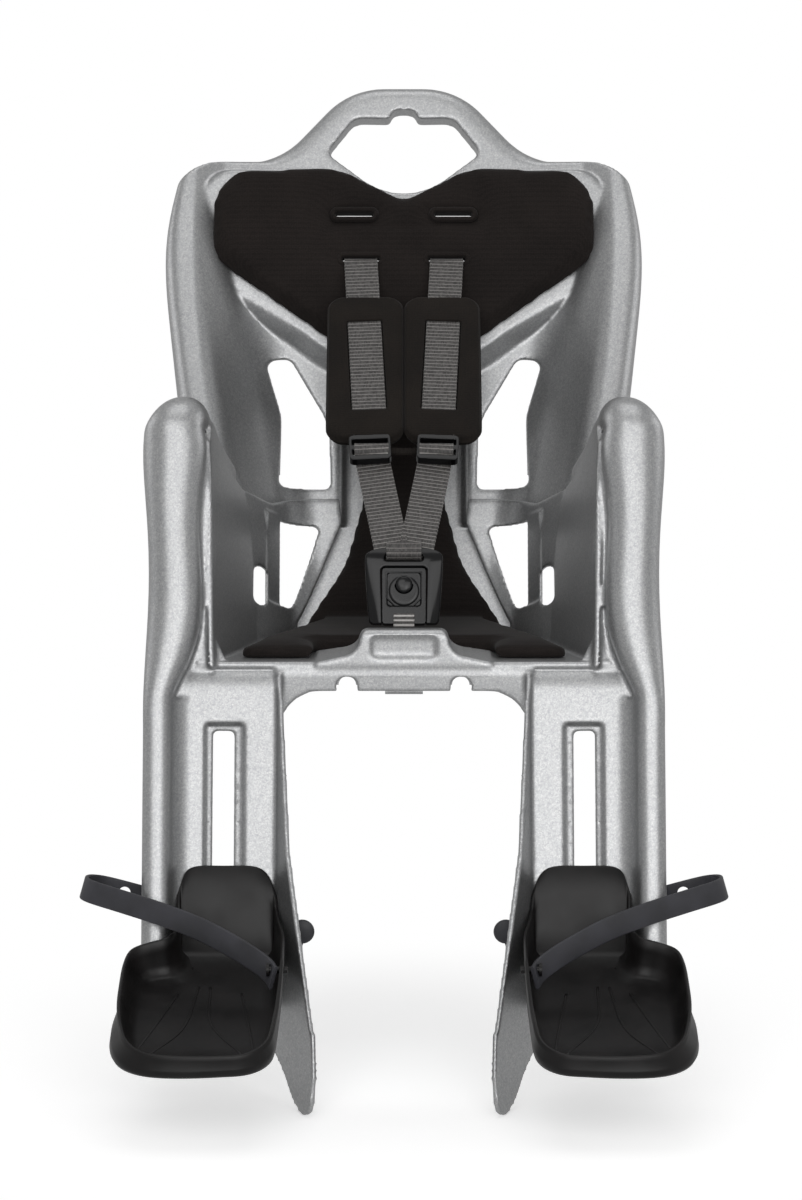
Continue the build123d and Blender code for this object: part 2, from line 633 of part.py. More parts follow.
def hump(inset):
    """Raised block at the front of the pan that stops the child from sliding forward."""
    front = symmetrical([(0, 0), (HUMP_LOW_HALF - inset, 0), (HUMP_LOW_HALF - inset, PAN_FRONT_Z - inset),
                         (HUMP_TOP_HALF + 4 - inset, PAN_FRONT_Z + 6 - inset), (HUMP_TOP_HALF - inset, HUMP_TOP - inset),
                         (0, HUMP_TOP - inset)], [0, 0, 0, 14 + inset, 6 - inset, 0])
    side = [(inset, pan_z(inset) - WALL), (inset + 1, HUMP_TOP - inset), (HUMP_FLAT, HUMP_TOP - inset),
            (HUMP_DEPTH - inset, pan_z(HUMP_DEPTH) - 0.7 * inset),
            (HUMP_DEPTH - inset, pan_z(HUMP_DEPTH - inset) - WALL)]
    block = extrude(Plane.XZ * front, amount=2 * HUMP_DEPTH, both=True)
    return block & side_solid(side, [0, 6 - inset, 10, 0, 0], HUMP_LOW_HALF + 10)


def seat_shell():
    """Lower moulding: tub, arms, pan, hump, apron, legs and fins."""
    shell = tub() + pan() + hump(0) - hump(WALL)
    for side in both(arm() + leg()):
        shell += side
    recess = Pos(0, PAN_FRONT_Z + 3 + HUMP_RECESS_TALL / 2) * RectangleRounded(HUMP_RECESS_WIDE, HUMP_RECESS_TALL, 4)
    shell -= extrude(Plane.XZ * recess, amount=HUMP_RECESS_DEEP, both=True)
    for side in (-1, 1):
        notch = Pos(side * BOW_SPACING / 2, 0) * Circle(BOW_NOTCH_R)
        shell -= extrude(Plane.XZ * notch, amount=2 * WALL, both=True)
    shell -= crotch_slot(0)
    for place in bracket_screw_places():
        shell -= Pos(*place, 0) * Cylinder(SCREW_R + SCREW_GAP, 60)
    return shell - backrest_screw_holes()


def crotch_slot(margin):
    """Slot through the pan, and through the pad on it, for the crotch strap."""
    face = RectangleRounded(CROTCH_WIDE + 4 + 2 * margin, CROTCH_SLOT + 2 * margin, 2)
    return extrude(Pos(0, CROTCH_Y) * face, amount=60, both=True)


def bracket_screw_places():
    """Spots of the two screws that hold the bow bracket under the pan."""
    return [(0, BRACKET_REAR - 10), (0, BRACKET_REAR - 32)]


def bow_bracket():
    """Saddle under the pan for the two rods of a carrier bow, with a keel between them."""
    top_front = pan_z(BRACKET_FRONT) - WALL - SEAT_GAP
    top_rear = pan_z(BRACKET_REAR) - WALL - SEAT_GAP
    block = side_solid([(BRACKET_FRONT, 0), (BRACKET_REAR, 0), (BRACKET_REAR, top_rear), (BRACKET_FRONT, top_front)],
                       [0, 0, 0, 0], BRACKET_HALF)
    block += side_solid([(BRACKET_FRONT, KEEL_LOW), (BRACKET_REAR, KEEL_LOW), (BRACKET_REAR, 1), (BRACKET_FRONT, 1)],
                        [2, 2, 0, 0], KEEL_HALF)
    for side in (-1, 1):
        groove = Pos(side * BOW_SPACING / 2, 0) * Circle(BOW_R + BOW_GAP)
        block -= extrude(Plane.XZ * groove, amount=2 * BRACKET_REAR, both=True)
    for place in bracket_screw_places():
        block -= Pos(*place, 0) * Cylinder(SCREW_R + SCREW_GAP, 60)
    return block


def bracket_screws():
    """Pan-head screws up through the keel of the bow bracket into the pan."""
    screws = []
    for x, y in bracket_screw_places():
        length = pan_z(y) - 1 - KEEL_LOW
        shank = Pos(x, y, KEEL_LOW + length / 2) * Cylinder(SCREW_R, length)
        screws.append(shank + Pos(x, y, KEEL_LOW - SCREW_HEAD / 2) * Cylinder(SCREW_HEAD_R, SCREW_HEAD))
    return Compound(children=screws)


def seat_pad():
    """Padded cover: a heart on the shoulder rest, a waist down the spine and a seat on the pan."""
    rest = PLATEAU + SEAT_GAP
    sunk = SEAT_GAP - SPINE_DEPTH
    solid = pulled(BACK, heart(0, 0, PAD_TUCK), rest, rest + PAD_THICK)
    waist = symmetrical([(0, 8), (PAD_REAR_HALF, 8), (PAD_WAIST_HALF + 13, 62), (PAD_WAIST_HALF, 110),
                         (PAD_WAIST_HALF, 164), (0, 164)], [0, 0, 60, 60, 0, 0])
    solid += pulled(BACK, waist, sunk, sunk + PAD_THICK)
    ramp = [(160, sunk), (164, sunk), (190, rest), (230, rest), (230, rest + PAD_THICK), (186, rest + PAD_THICK),
            (160, sunk + PAD_THICK)]
    frame = Plane(origin=BACK.origin, x_dir=BACK.y_dir, z_dir=(1, 0, 0))
    solid += pulled(frame, make_face(Polyline(*ramp, close=True)), -PAD_WAIST_HALF, PAD_WAIST_HALF)
    plan = symmetrical([(0, HUMP_DEPTH + 4), (HUMP_LOW_HALF + 4, HUMP_DEPTH + 4), (HUMP_LOW_HALF + 4, PAD_FRONT_Y),
                        (PAD_FRONT_HALF, PAD_FRONT_Y), (PAD_FRONT_HALF - 14, 70), (PAD_REAR_HALF, 165),
                        (PAD_REAR_HALF - 18, BACK_FOOT_Y + 3), (0, BACK_FOOT_Y + 3)], [0, 12, 4, 8, 60, 30, 6, 0])
    low = [(y, pan_z(y) + SEAT_GAP) for y in (0, BACK_FOOT_Y + 10)]
    high = [(y, z + PAD_THICK) for y, z in reversed(low)]
    solid += side_solid(low + high, [0, 0, 0, 0], PAD_FRONT_HALF + 10) & extrude(plan, amount=100, both=True)
    solid -= crotch_slot(1)
    for face in strap_slots():
        solid -= pulled(BACK, face, 0, 60)
    return solid


def harness_side(shape, side):
    """A harness piece made in line with the right-hand slot, leaned inwards and put on its side."""
    spot = BACK.from_local_coords(Vector(SLOT_LOW_X, SLOT_LOW, 0))
    leaned = shape.rotate(Axis(spot, BACK.z_dir), -WEB_LEAN)
    return leaned if side > 0 else mirror(leaned, about=Plane.YZ)


def harness_point(along, above):
    """Point on the line from the strap slot to the buckle, at a distance below the slot."""
    return HARNESS.from_local_coords(Vector(0, -along, above))


def shoulder_webbing(side):
    """Shoulder strap: out of its slot in the backrest and straight down to the adjuster."""
    root = BACK.from_local_coords(Vector(0, SLOT_LOW, PLATEAU - WALL))
    top = harness_point(0, 0)
    end = harness_point(ADJUSTER_DOWN - STRAP_END_GAP, 0)
    frame = Plane(origin=(SLOT_LOW_X, 0, 0), x_dir=(0, 1, 0), z_dir=(1, 0, 0))
    strip = band([(root.Y, root.Z), (top.Y, top.Z), (end.Y, end.Z)], [4], -WEB_THICK / 2, WEB_THICK / 2)
    return harness_side(pulled(frame, strip, -WEB_WIDE / 2, WEB_WIDE / 2), side)


def shoulder_pad(side):
    """Padded sleeve under the shoulder strap."""
    middle = (SHOULDER_PAD_FROM + SHOULDER_PAD_TO) / 2
    face = RectangleRounded(SHOULDER_PAD_WIDE, SHOULDER_PAD_TO - SHOULDER_PAD_FROM, 12)
    high = -WEB_THICK / 2 - SEAT_GAP
    return pulled(HARNESS, Pos(side * SHOULDER_PAD_X, -middle) * face, high - SHOULDER_PAD_THICK, high)


def strap_adjuster(side):
    """Two-slot slide that joins the shoulder strap to the lower strap."""
    low = WEB_THICK / 2 + SEAT_GAP
    face = RectangleRounded(ADJUSTER_WIDE, ADJUSTER_TALL, 3)
    gap = (ADJUSTER_TALL - 3 * ADJUSTER_BAR) / 2
    for step in (-1, 1):
        face -= Pos(0, step * (ADJUSTER_BAR + gap) / 2) * Rectangle(WEB_WIDE + 1, gap)
    return harness_side(pulled(HARNESS, Pos(SLOT_LOW_X, -ADJUSTER_DOWN) * face, low, low + ADJUSTER_THICK), side)


def strap_anchor(side):
    """Steel bar behind the backrest that keeps the shoulder strap from pulling through its slot."""
    depth = PLATEAU - WALL - SEAT_GAP - ANCHOR_BAR_R
    spot = BACK.from_local_coords(Vector(side * SLOT_LOW_X, SLOT_LOW, depth))
    return Pos(spot) * Rot(0, 90, 0) * Cylinder(ANCHOR_BAR_R, ANCHOR_BAR_LENGTH)


def lower_webbing():
    """Lower strap: a vee from both adjusters to a loop round the top bar of the buckle yoke."""
    loop_low = YOKE_TALL - YOKE_BAR - SEAT_GAP
    loop_high = YOKE_TALL + SEAT_GAP
    depth = YOKE_THICK + 2 * SEAT_GAP
    outer = Rectangle(loop_high - loop_low + 2 * WEB_THICK, depth + 2 * WEB_THICK)
    ring = outer - Rectangle(loop_high - loop_low, depth)
    frame = Plane(origin=BUCKLE.origin, x_dir=BUCKLE.y_dir, z_dir=(1, 0, 0))
    solid = pulled(frame, Pos((loop_low + loop_high) / 2, YOKE_THICK / 2) * ring, -WEB_WIDE / 2, WEB_WIDE / 2)
    inwards = ADJUSTER_DOWN * tan(radians(WEB_LEAN))
    start = HARNESS.from_local_coords(Vector(SLOT_LOW_X - inwards, -ADJUSTER_DOWN - STRAP_END_GAP, 0))
    foot = BUCKLE.from_local_coords(Vector(VEE_STRAP_X, loop_high + WEB_THICK, YOKE_THICK / 2))
    along = (start - foot).normalized()
    across = along.cross(HARNESS.z_dir).normalized()
    plane = Plane(origin=(start + foot) / 2, x_dir=across, z_dir=across.cross(along))
    strip = extrude(plane * Rectangle(WEB_WIDE, (start - foot).length), amount=WEB_THICK / 2, both=True)
    for ribbon in both(strip):
        solid += ribbon
    return solid


def keeper_band():
    """Short band under the shoulder straps that holds them together on the chest."""
    high = -WEB_THICK / 2 - SEAT_GAP
    face = Pos(0, -KEEPER_DOWN) * RectangleRounded(KEEPER_WIDE, KEEPER_TALL, 2)
    return pulled(HARNESS, face, high - WEB_THICK, high)


def yoke_face():
    """Outline of the buckle yoke: a rounded trapezoid open at the foot."""
    return symmetrical([(0, 0), (YOKE_WIDE / 2, 0), (YOKE_TOP_WIDE / 2, YOKE_TALL), (0, YOKE_TALL)],
                       [0, 3, YOKE_ROUND, 0])


def buckle_yoke():
    """Upper half of the buckle: holds the lower strap on its bar and plugs into the case by a tongue."""
    solid = pulled(BUCKLE, yoke_face(), 0, YOKE_THICK)
    opening = Pos(0, YOKE_OPEN_TALL / 2 - 1) * RectangleRounded(YOKE_OPEN_WIDE, YOKE_OPEN_TALL + 2, 3)
    solid -= pulled(BUCKLE, opening, -1, YOKE_THICK + 1)
    bar = Pos(0, YOKE_TALL - YOKE_BAR - YOKE_SLOT_TALL / 2) * RectangleRounded(YOKE_SLOT_WIDE, YOKE_SLOT_TALL, 2)
    solid -= pulled(BUCKLE, bar, -1, YOKE_THICK + 1)
    tongue = Pos(0, YOKE_OPEN_TALL - TONGUE_TALL / 2 + 0.5) * RectangleRounded(TONGUE_WIDE, TONGUE_TALL + 1, 2)
    tongue -= Pos(0, BUTTON_UP) * Circle(SPRING_R + 1)
    return solid + pulled(BUCKLE, tongue, TONGUE_BACK, TONGUE_BACK + TONGUE_THICK)


def case_face():
    """Outline of the buckle case inside the yoke."""
    tall = YOKE_OPEN_TALL - CASE_GAP
    return Pos(0, tall / 2) * RectangleRounded(YOKE_OPEN_WIDE - 2 * CASE_GAP, tall, 2.7)


def buckle_case():
    """Lower half of the buckle: front case with a sunk square panel and the bore of the button."""
    solid = pulled(BUCKLE, case_face(), CASE_BACK, YOKE_THICK - 1)
    panel = Pos(0, BUTTON_UP - 3.5) * RectangleRounded(PANEL_WIDE, PANEL_WIDE, 3)
    solid -= pulled(BUCKLE, panel, YOKE_THICK - 2, YOKE_THICK + 1)
    slot = Pos(0, YOKE_OPEN_TALL - TONGUE_TALL / 2) * Rectangle(TONGUE_WIDE + 2 * CASE_GAP, TONGUE_TALL + 2 * CASE_GAP)
    solid -= pulled(BUCKLE, slot, CASE_BACK - 1, TONGUE_BACK + TONGUE_THICK + CASE_GAP)
    return solid - pulled(BUCKLE, Pos(0, BUTTON_UP) * Circle(BUTTON_R + BUTTON_GAP), CASE_BACK - 1, YOKE_THICK + 1)


def buckle_back():
    """Rear cover of the buckle case, which the spring and the crotch strap bear on."""
    return pulled(BUCKLE, case_face(), CASE_BACK - COVER_THICK, CASE_BACK)


def buckle_button():
    """Round release button with a shallow dish in its face."""
    top = YOKE_THICK - 2 + BUTTON_PROUD
    solid = pulled(BUCKLE, Pos(0, BUTTON_UP) * Circle(BUTTON_R), top - BUTTON_TALL, top)
    dish = BUCKLE.from_local_coords(Vector(0, BUTTON_UP, top + BUTTON_DISH_R - BUTTON_DISH))
    return solid - Pos(dish) * Sphere(BUTTON_DISH_R)


def buckle_spring():
    """Spring under the button, inside the hole of the tongue, as the sleeve that its coils fill."""
    ring = Circle(SPRING_R) - Circle(SPRING_R - SPRING_WIRE)
    top = YOKE_THICK - 2 + BUTTON_PROUD - BUTTON_TALL
    return pulled(BUCKLE, Pos(0, BUTTON_UP) * ring, CASE_BACK, top)


def crotch_strap():
    """Strap from the anchor under the pan up to the foot of the buckle case."""
    low = pan_z(CROTCH_Y) - WALL
    foot = BUCKLE.from_local_coords(Vector(0, 0, (CASE_BACK + YOKE_THICK) / 2))
    frame = Plane(origin=(0, 0, 0), x_dir=(0, 1, 0), z_dir=(1, 0, 0))
    strip = band([(CROTCH_Y, low), (CROTCH_Y, pan_z(CROTCH_Y) + PAD_THICK + 2), (foot.Y, foot.Z)], [3],
                 -WEB_THICK / 2, WEB_THICK / 2)
    strip = pulled(frame, strip, -CROTCH_WIDE / 2, CROTCH_WIDE / 2)
    return strip - pulled(BUCKLE, Pos(0, 50) * Rectangle(100, 100), CASE_BACK - COVER_THICK - SEAT_GAP, 60)


def crotch_anchor():
    """Steel bar under the pan that the crotch strap hangs on."""
    depth = pan_z(CROTCH_Y + CROTCH_SLOT) - WALL - SEAT_GAP - ANCHOR_BAR_R
    return Pos(0, CROTCH_Y, depth) * Rot(0, 90, 0) * Cylinder(ANCHOR_BAR_R, ANCHOR_BAR_LENGTH)


def foot_outline(inset):
    """Floor of the right-hand footrest: narrow at the heel and flared at the toe."""
    heel_in, heel_out = RAIL_X - FOOT_HEEL_HALF + inset, RAIL_X + FOOT_HEEL_HALF - inset
    toe = -FOOT_LENGTH + inset
    points = [(heel_in, 20), (heel_in, 0), (FOOT_FLARE_IN + inset, -46), (FOOT_TOE_IN + inset, toe),
              (FOOT_TOE_OUT - inset, toe), (FOOT_FLARE_OUT - inset, -42), (heel_out, -22), (heel_out, 20)]
    round_toe = FOOT_TOE_ROUND - inset
    return rounded(points, [0, 20, 30, round_toe, round_toe, 40, 8, 0])


def wall_top(heel, middle):
    """Side view of the footrest up to the top of a wall, which falls from the heel to the toe."""
    frame = Plane(origin=(0, FOOT.origin.Y, FOOT.origin.Z), x_dir=FOOT.y_dir * -1, z_dir=(-1, 0, 0))
    profile = [(-40, -1), (-40, heel), (6, heel), (44, middle), (FOOT_LENGTH + 10, FOOT_TOE_WALL), (FOOT_LENGTH + 10, -1)]
    return frame * rounded(profile, [0, 0, 20, 60, 0, 0])


def footrest_body():
    """Right-hand footrest: a shoe-shaped tray, its back plate and the neck that runs in the rail."""
    outer = extrude(FOOT * foot_outline(0), amount=90, taper=-FOOT_FLARE)
    inner = extrude(FOOT * Pos(0, 0, FOOT_WALL) * foot_outline(FOOT_WALL), amount=90, taper=-FOOT_FLARE)
    inside = extrude(wall_top(FOOT_INNER_WALL, FOOT_SIDE_WALL), amount=RAIL_X, dir=(-1, 0, 0))
    outside = extrude(wall_top(FOOT_OUTER_WALL, FOOT_OUTER_WALL - 2), amount=RAIL_X, dir=(1, 0, 0))
    solid = (outer - inner) & Pos(RAIL_X, 0, 0) * (inside + outside)
    plate = Pos(RAIL_X, (FOOT_BACK_TOP + FOOT_HEEL_UP) / 2) * Rectangle(2 * FOOT_BACK_HALF, FOOT_BACK_TOP - FOOT_HEEL_UP)
    plate = fillet(plate.vertices().group_by(Axis.Y)[-1], FOOT_BACK_ROUND)
    solid += pulled(LEG, plate, SLIDE_GAP, SLIDE_GAP + FOOT_WALL)
    solid -= pulled(LEG, Pos(RAIL_X, NECK_UP) * Rectangle(400, 400), -100, SLIDE_GAP)
    solid = (solid - leg_channel(-SLIDE_GAP, FOOT_HEEL_UP - 60)).solids().sort_by(SortBy.VOLUME)[-1]
    neck = Pos(RAIL_X, NECK_UP) * Rectangle(RAIL_WIDE - 2 * SLIDE_GAP, NECK_TALL)
    solid += pulled(LEG, neck, carriage_front(), SLIDE_GAP + FOOT_WALL / 2)
    for place in carriage_screw_places():
        solid -= pulled(LEG, Pos(*place) * Circle(SCREW_R + SCREW_GAP), carriage_front() - 1, -1)
    return solid - Pos(rivet_spot()) * Rot(0, 90, 0) * Cylinder(RIVET_R + SCREW_GAP, 30)


def carriage_front():
    """Forward face of the carriage, just behind the ledges of the rail."""
    return -RAIL_DEEP - WALL - SLIDE_GAP


def carriage_screw_places():
    """Spots of the two screws that hold the carriage to the neck."""
    return [(RAIL_X, NECK_UP + step * SCREW_SPACING / 2) for step in (-1, 1)]


def carriage_body():
    """Plate behind the leg that keeps the footrest in its rail."""
    face = Pos(RAIL_X, NECK_UP) * RectangleRounded(CARRIAGE_WIDE, CARRIAGE_TALL, 4)
    for place in carriage_screw_places():
        face -= Pos(*place) * Circle(SCREW_R + SCREW_GAP)
    return pulled(LEG, face, carriage_front() - CARRIAGE_THICK, carriage_front())


def carriage_screw_set():
    """Two pan-head screws from the carriage into the neck."""
    back = carriage_front() - CARRIAGE_THICK
    screws = []
    for place in carriage_screw_places():
        shank = pulled(LEG, Pos(*place) * Circle(SCREW_R), back, -1 - SEAT_GAP)
        screws.append(shank + pulled(LEG, Pos(*place) * Circle(SCREW_HEAD_R), back - SCREW_HEAD, back))
    return Compound(children=screws)


def rivet_spot():
    """Point where the inner end of the foot strap is riveted to the side wall of the footrest."""
    return STRAP.from_local_coords(Vector(STRAP_IN, STRAP_IN_FORWARD - 8, 0))


def foot_strap_body():
    """Rubber strap: from the inner wall over the ankle, round the outside and back behind the leg."""
    points = [(STRAP_TAIL, 0), (STRAP_OUT, 0), (STRAP_OUT, 40), (18, 66), (STRAP_IN, 88), (STRAP_IN, STRAP_IN_FORWARD)]
    strip = band(points, [12, 20, 50, 18], -STRAP_THICK / 2, STRAP_THICK / 2)
    solid = extrude(STRAP * strip, amount=STRAP_WIDE / 2, both=True)
    for step in range(STRAP_HOLES):
        spot = STRAP.from_local_coords(Vector(step * STRAP_HOLE_PITCH, 0, 0))
        solid -= Pos(spot) * Rot(90, 0, 0) * Cylinder(STUD_R + STUD_GAP, 12)
    return solid - Pos(rivet_spot()) * Rot(0, 90, 0) * Cylinder(RIVET_R + SCREW_GAP, 14)


def strap_stud_body():
    """Stud on the back of the carriage that a hole of the foot strap hooks over."""
    spot = LEG.to_local_coords(STRAP.origin)
    back = carriage_front() - CARRIAGE_THICK
    tip = spot.Z - STRAP_THICK - 1
    face = Pos(RAIL_X, spot.Y)
    return pulled(LEG, face * Circle(STUD_R), tip - STUD_HEAD, back) + pulled(
        LEG, face * Circle(STUD_HEAD_R), tip - STUD_HEAD, tip)


def strap_rivet_body():
    """Rivet through the side wall of the footrest and the inner end of the foot strap."""
    spot = rivet_spot()
    wall = FOOT_FLARE_IN - RIVET_REACH
    inside = spot.X + STRAP_THICK + 2 * SEAT_GAP
    shank = Pos((wall + inside) / 2, spot.Y, spot.Z) * Rot(0, 90, 0) * Cylinder(RIVET_R, inside - wall)
    head = Pos(inside + RIVET_HEAD / 2, spot.Y, spot.Z) * Rot(0, 90, 0) * Cylinder(RIVET_HEAD_R, RIVET_HEAD)
    return shank + head


def nodes():
    """Every piece of the seat by name."""
    pieces = {
        "seat_shell": seat_shell(), "backrest_shell": backrest_shell(), "backrest_screws": backrest_screws(),
        "bow_bracket": bow_bracket(), "bracket_screws": bracket_screws(), "seat_pad": seat_pad(),
        "lower_webbing": lower_webbing(), "keeper_band": keeper_band(), "buckle_yoke": buckle_yoke(),
        "buckle_case": buckle_case(), "buckle_back": buckle_back(), "buckle_button": buckle_button(),
        "buckle_spring": buckle_spring(), "crotch_strap": crotch_strap(), "crotch_anchor": crotch_anchor(),
    }
    paired = {"shoulder_webbing": shoulder_webbing, "shoulder_pad": shoulder_pad,
              "strap_adjuster": strap_adjuster, "strap_anchor": strap_anchor}
    for name, make in paired.items():
        pieces[name + "_left"] = make(-1)
        pieces[name + "_right"] = make(1)
    sided = {"footrest": footrest_body(), "carriage": carriage_body(), "carriage_screws": carriage_screw_set(),
             "foot_strap": foot_strap_body(), "strap_stud": strap_stud_body(), "strap_rivet": strap_rivet_body()}
    for name, right in sided.items():
        pieces[name + "_right"] = right
        pieces[name + "_left"] = mirror(right, about=Plane.YZ)
    return pieces


if __name__ == "__main__":
    os.makedirs("parts", exist_ok=True)
    for node, piece in nodes().items():
        export_step(piece, "parts/" + node + ".step")
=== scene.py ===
import json
from math import cos, pi, radians, sin

import bpy
from bpy.props import FloatProperty, IntProperty, PointerProperty
from bpy.types import Operator, Panel, PropertyGroup
from mathutils import Matrix, Vector
from mathutils.geometry import interpolate_bezier


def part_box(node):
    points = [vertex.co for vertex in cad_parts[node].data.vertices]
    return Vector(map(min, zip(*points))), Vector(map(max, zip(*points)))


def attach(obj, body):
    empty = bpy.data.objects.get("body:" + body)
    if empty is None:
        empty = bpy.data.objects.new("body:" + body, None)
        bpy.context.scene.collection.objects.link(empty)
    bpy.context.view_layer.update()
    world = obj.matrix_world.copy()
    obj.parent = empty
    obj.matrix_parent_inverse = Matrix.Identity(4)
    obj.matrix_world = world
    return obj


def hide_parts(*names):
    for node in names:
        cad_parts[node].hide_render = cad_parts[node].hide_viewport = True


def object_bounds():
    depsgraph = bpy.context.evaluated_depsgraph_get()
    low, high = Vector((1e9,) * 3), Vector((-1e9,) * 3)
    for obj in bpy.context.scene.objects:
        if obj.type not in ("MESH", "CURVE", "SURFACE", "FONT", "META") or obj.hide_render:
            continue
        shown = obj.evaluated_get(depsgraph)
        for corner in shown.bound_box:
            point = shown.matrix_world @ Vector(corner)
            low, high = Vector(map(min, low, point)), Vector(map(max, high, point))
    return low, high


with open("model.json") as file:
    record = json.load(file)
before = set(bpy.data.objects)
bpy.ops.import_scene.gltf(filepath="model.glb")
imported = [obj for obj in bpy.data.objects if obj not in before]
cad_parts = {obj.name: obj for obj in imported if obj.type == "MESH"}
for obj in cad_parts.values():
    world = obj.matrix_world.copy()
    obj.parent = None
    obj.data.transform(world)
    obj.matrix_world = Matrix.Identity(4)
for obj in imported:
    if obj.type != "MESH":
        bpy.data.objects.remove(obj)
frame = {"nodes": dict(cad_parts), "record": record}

bl_info = {
    "name": "Child bike seat",
    "version": (1, 0, 0),
    "blender": (4, 5, 0),
    "location": "View3D > Sidebar > Bike seat",
    "description": "Dresses the child bike seat: shells, padding, harness, buckle, footrests and studio",
    "category": "Object",
}

MM = 0.001
CAD_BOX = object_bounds()


def leaned(origin, angle):
    """Frame of a face that leans back: x across, y up the face, z out of it towards the front."""
    turn = radians(angle)
    across = Vector((1, 0, 0))
    out = Vector((0, -cos(turn), sin(turn)))
    up = out.cross(across)
    return framed(origin, across, up, out)


def framed(origin, across, up, out):
    """Matrix of a frame from its origin and its three directions."""
    matrix = Matrix((across, up, out)).transposed().to_4x4()
    matrix.translation = Vector(origin)
    return matrix


# Frames of the sloping parts, in metres
BACK = leaned((0, 0.212, 0), 18)
LEG = leaned((0, -0.005, 0), 16)
BUCKLE = leaned((0, 0.070, 0.034), 15)
SLOT_X, SLOT_UP = 0.033, 0.2945
STRAP_SLOTS = ((0.038, 0.330), (-0.038, 0.330), (SLOT_X, SLOT_UP), (-SLOT_X, SLOT_UP))
HARNESS_TOP = BACK @ Vector((0, SLOT_UP, 0.027))
HARNESS_FOOT = BUCKLE @ Vector((0, 0.056, 0.0045))
HARNESS_UP = (HARNESS_TOP - HARNESS_FOOT).normalized()
HARNESS = framed(HARNESS_TOP, Vector((1, 0, 0)), HARNESS_UP, Vector((1, 0, 0)).cross(HARNESS_UP))
FOOT_PITCH = radians(30)
LEG_UP = LEG.to_3x3() @ Vector((0, 1, 0))
LEG_OUT = LEG.to_3x3() @ Vector((0, 0, 1))
FOOT_UP = LEG_OUT * sin(FOOT_PITCH) + LEG_UP * cos(FOOT_PITCH)
FOOT_AHEAD = LEG_OUT * cos(FOOT_PITCH) - LEG_UP * sin(FOOT_PITCH)
FOOT = framed(LEG @ Vector((0, -0.192, 0.0034)), Vector((1, 0, 0)), -FOOT_AHEAD, FOOT_UP)
RAIL_X = 0.1263
WEB_WIDE = 0.0255
ADJUSTER_DOWN = 0.192
WEB_LEAN = radians(2.7)


class ShellSizes(PropertyGroup):
    """Sizes of the two silver mouldings."""
    grain: FloatProperty(name="Grain", description="Size of the mesh grain that rounds the edges", default=1.5 * MM, unit="LENGTH")
    triangles: IntProperty(name="Triangles", description="Most triangles in one moulding", default=185000)


class PaddingSizes(PropertyGroup):
    """Sizes of the padded pieces."""
    swell: FloatProperty(name="Swell", description="Most that the padding stands proud", default=3 * MM, unit="LENGTH")
    shoulder_wide: FloatProperty(name="Shoulder pad width", description="Width of a shoulder pad", default=57 * MM, unit="LENGTH")
    rib: FloatProperty(name="Webbing rib", description="Spacing of the ribs across the webbing", default=3.3 * MM, unit="LENGTH")


class StageSizes(PropertyGroup):
    """Camera and light of the studio."""
    distance: FloatProperty(name="Camera distance", description="From the camera to the seat", default=3.0, unit="LENGTH")
    elevation: FloatProperty(name="Camera height", description="Angle above the horizon, in degrees", default=8.0)
    lens: FloatProperty(name="Lens", description="Focal length in millimetres", default=126.8)
    ambient: FloatProperty(name="Ambient", description="Strength of the even light from all sides", default=0.34)
    glow: FloatProperty(name="Floor glow", description="Light that the camera sees from the floor itself", default=0.44)


# Small tools

def hexa(text):
    """Linear colour from an sRGB hex value."""
    parts = [int(text[i:i + 2], 16) / 255 for i in (0, 2, 4)]
    return tuple(p / 12.92 if p <= 0.04045 else ((p + 0.055) / 1.055) ** 2.4 for p in parts) + (1.0,)


def node(tree, kind, inputs=(), **settings):
    """Adds a shader node, with its settings, socket values and links."""
    made = tree.nodes.new(kind)
    for name, value in settings.items():
        setattr(made, name, value)
    for name, value in dict(inputs).items():
        socket = made.inputs[name]
        if isinstance(value, bpy.types.NodeSocket):
            tree.links.new(value, socket)
        else:
            socket.default_value = value
    return made


def new_material(name):
    """Empty material with a principled shader; returns the material, its tree and the shader."""
    material = bpy.data.materials.new(name)
    material.use_nodes = True
    tree = material.node_tree
    tree.nodes.clear()
    shader = node(tree, "ShaderNodeBsdfPrincipled")
    node(tree, "ShaderNodeOutputMaterial", {"Surface": shader.outputs["BSDF"]})
    return material, tree, shader


def ramp(tree, factor, stops):
    """Colour ramp between the given (place, colour) stops."""
    made = node(tree, "ShaderNodeValToRGB", {"Fac": factor})
    elements = made.color_ramp.elements
    while len(elements) < len(stops):
        elements.new(0.5)
    for element, (place, colour) in zip(elements, stops):
        element.position = place
        element.color = colour
    return made.outputs["Color"]


def deselect():
    """Leaves nothing selected, in object mode."""
    if bpy.context.object and bpy.context.object.mode != "OBJECT":
        bpy.ops.object.mode_set(mode="OBJECT")
    bpy.ops.object.select_all(action="DESELECT")


def activate(piece):
    """Makes one piece the only selected and active one."""
    deselect()
    piece.select_set(True)
    bpy.context.view_layer.objects.active = piece


def edit_all(piece):
    """Enters edit mode on one piece with all of it selected."""
    activate(piece)
    bpy.ops.object.mode_set(mode="EDIT")
    bpy.ops.mesh.select_all(action="SELECT")


def leave_edit():
    """Back to object mode."""
    bpy.ops.object.mode_set(mode="OBJECT")


def modify(piece, kind, **settings):
    """Adds a modifier, sets it and applies it."""
    activate(piece)
    made = piece.modifiers.new(kind.title(), kind)
    for name, value in settings.items():
        setattr(made, name, value)
    bpy.ops.object.modifier_apply(modifier=made.name)


def smooth(piece, angle=40):
    """Smooth shading with sharp edges above an angle in degrees."""
    activate(piece)
    bpy.ops.object.shade_smooth_by_angle(angle=radians(angle))


def copy_of(cad, name):
    """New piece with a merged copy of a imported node's mesh."""
    source = frame["nodes"][cad]
    piece = bpy.data.objects.new(name, source.data.copy())
    bpy.context.scene.collection.objects.link(piece)
    piece.data.materials.clear()
    edit_all(piece)
    bpy.ops.mesh.remove_doubles(threshold=0.002 * MM)
    leave_edit()
    return piece


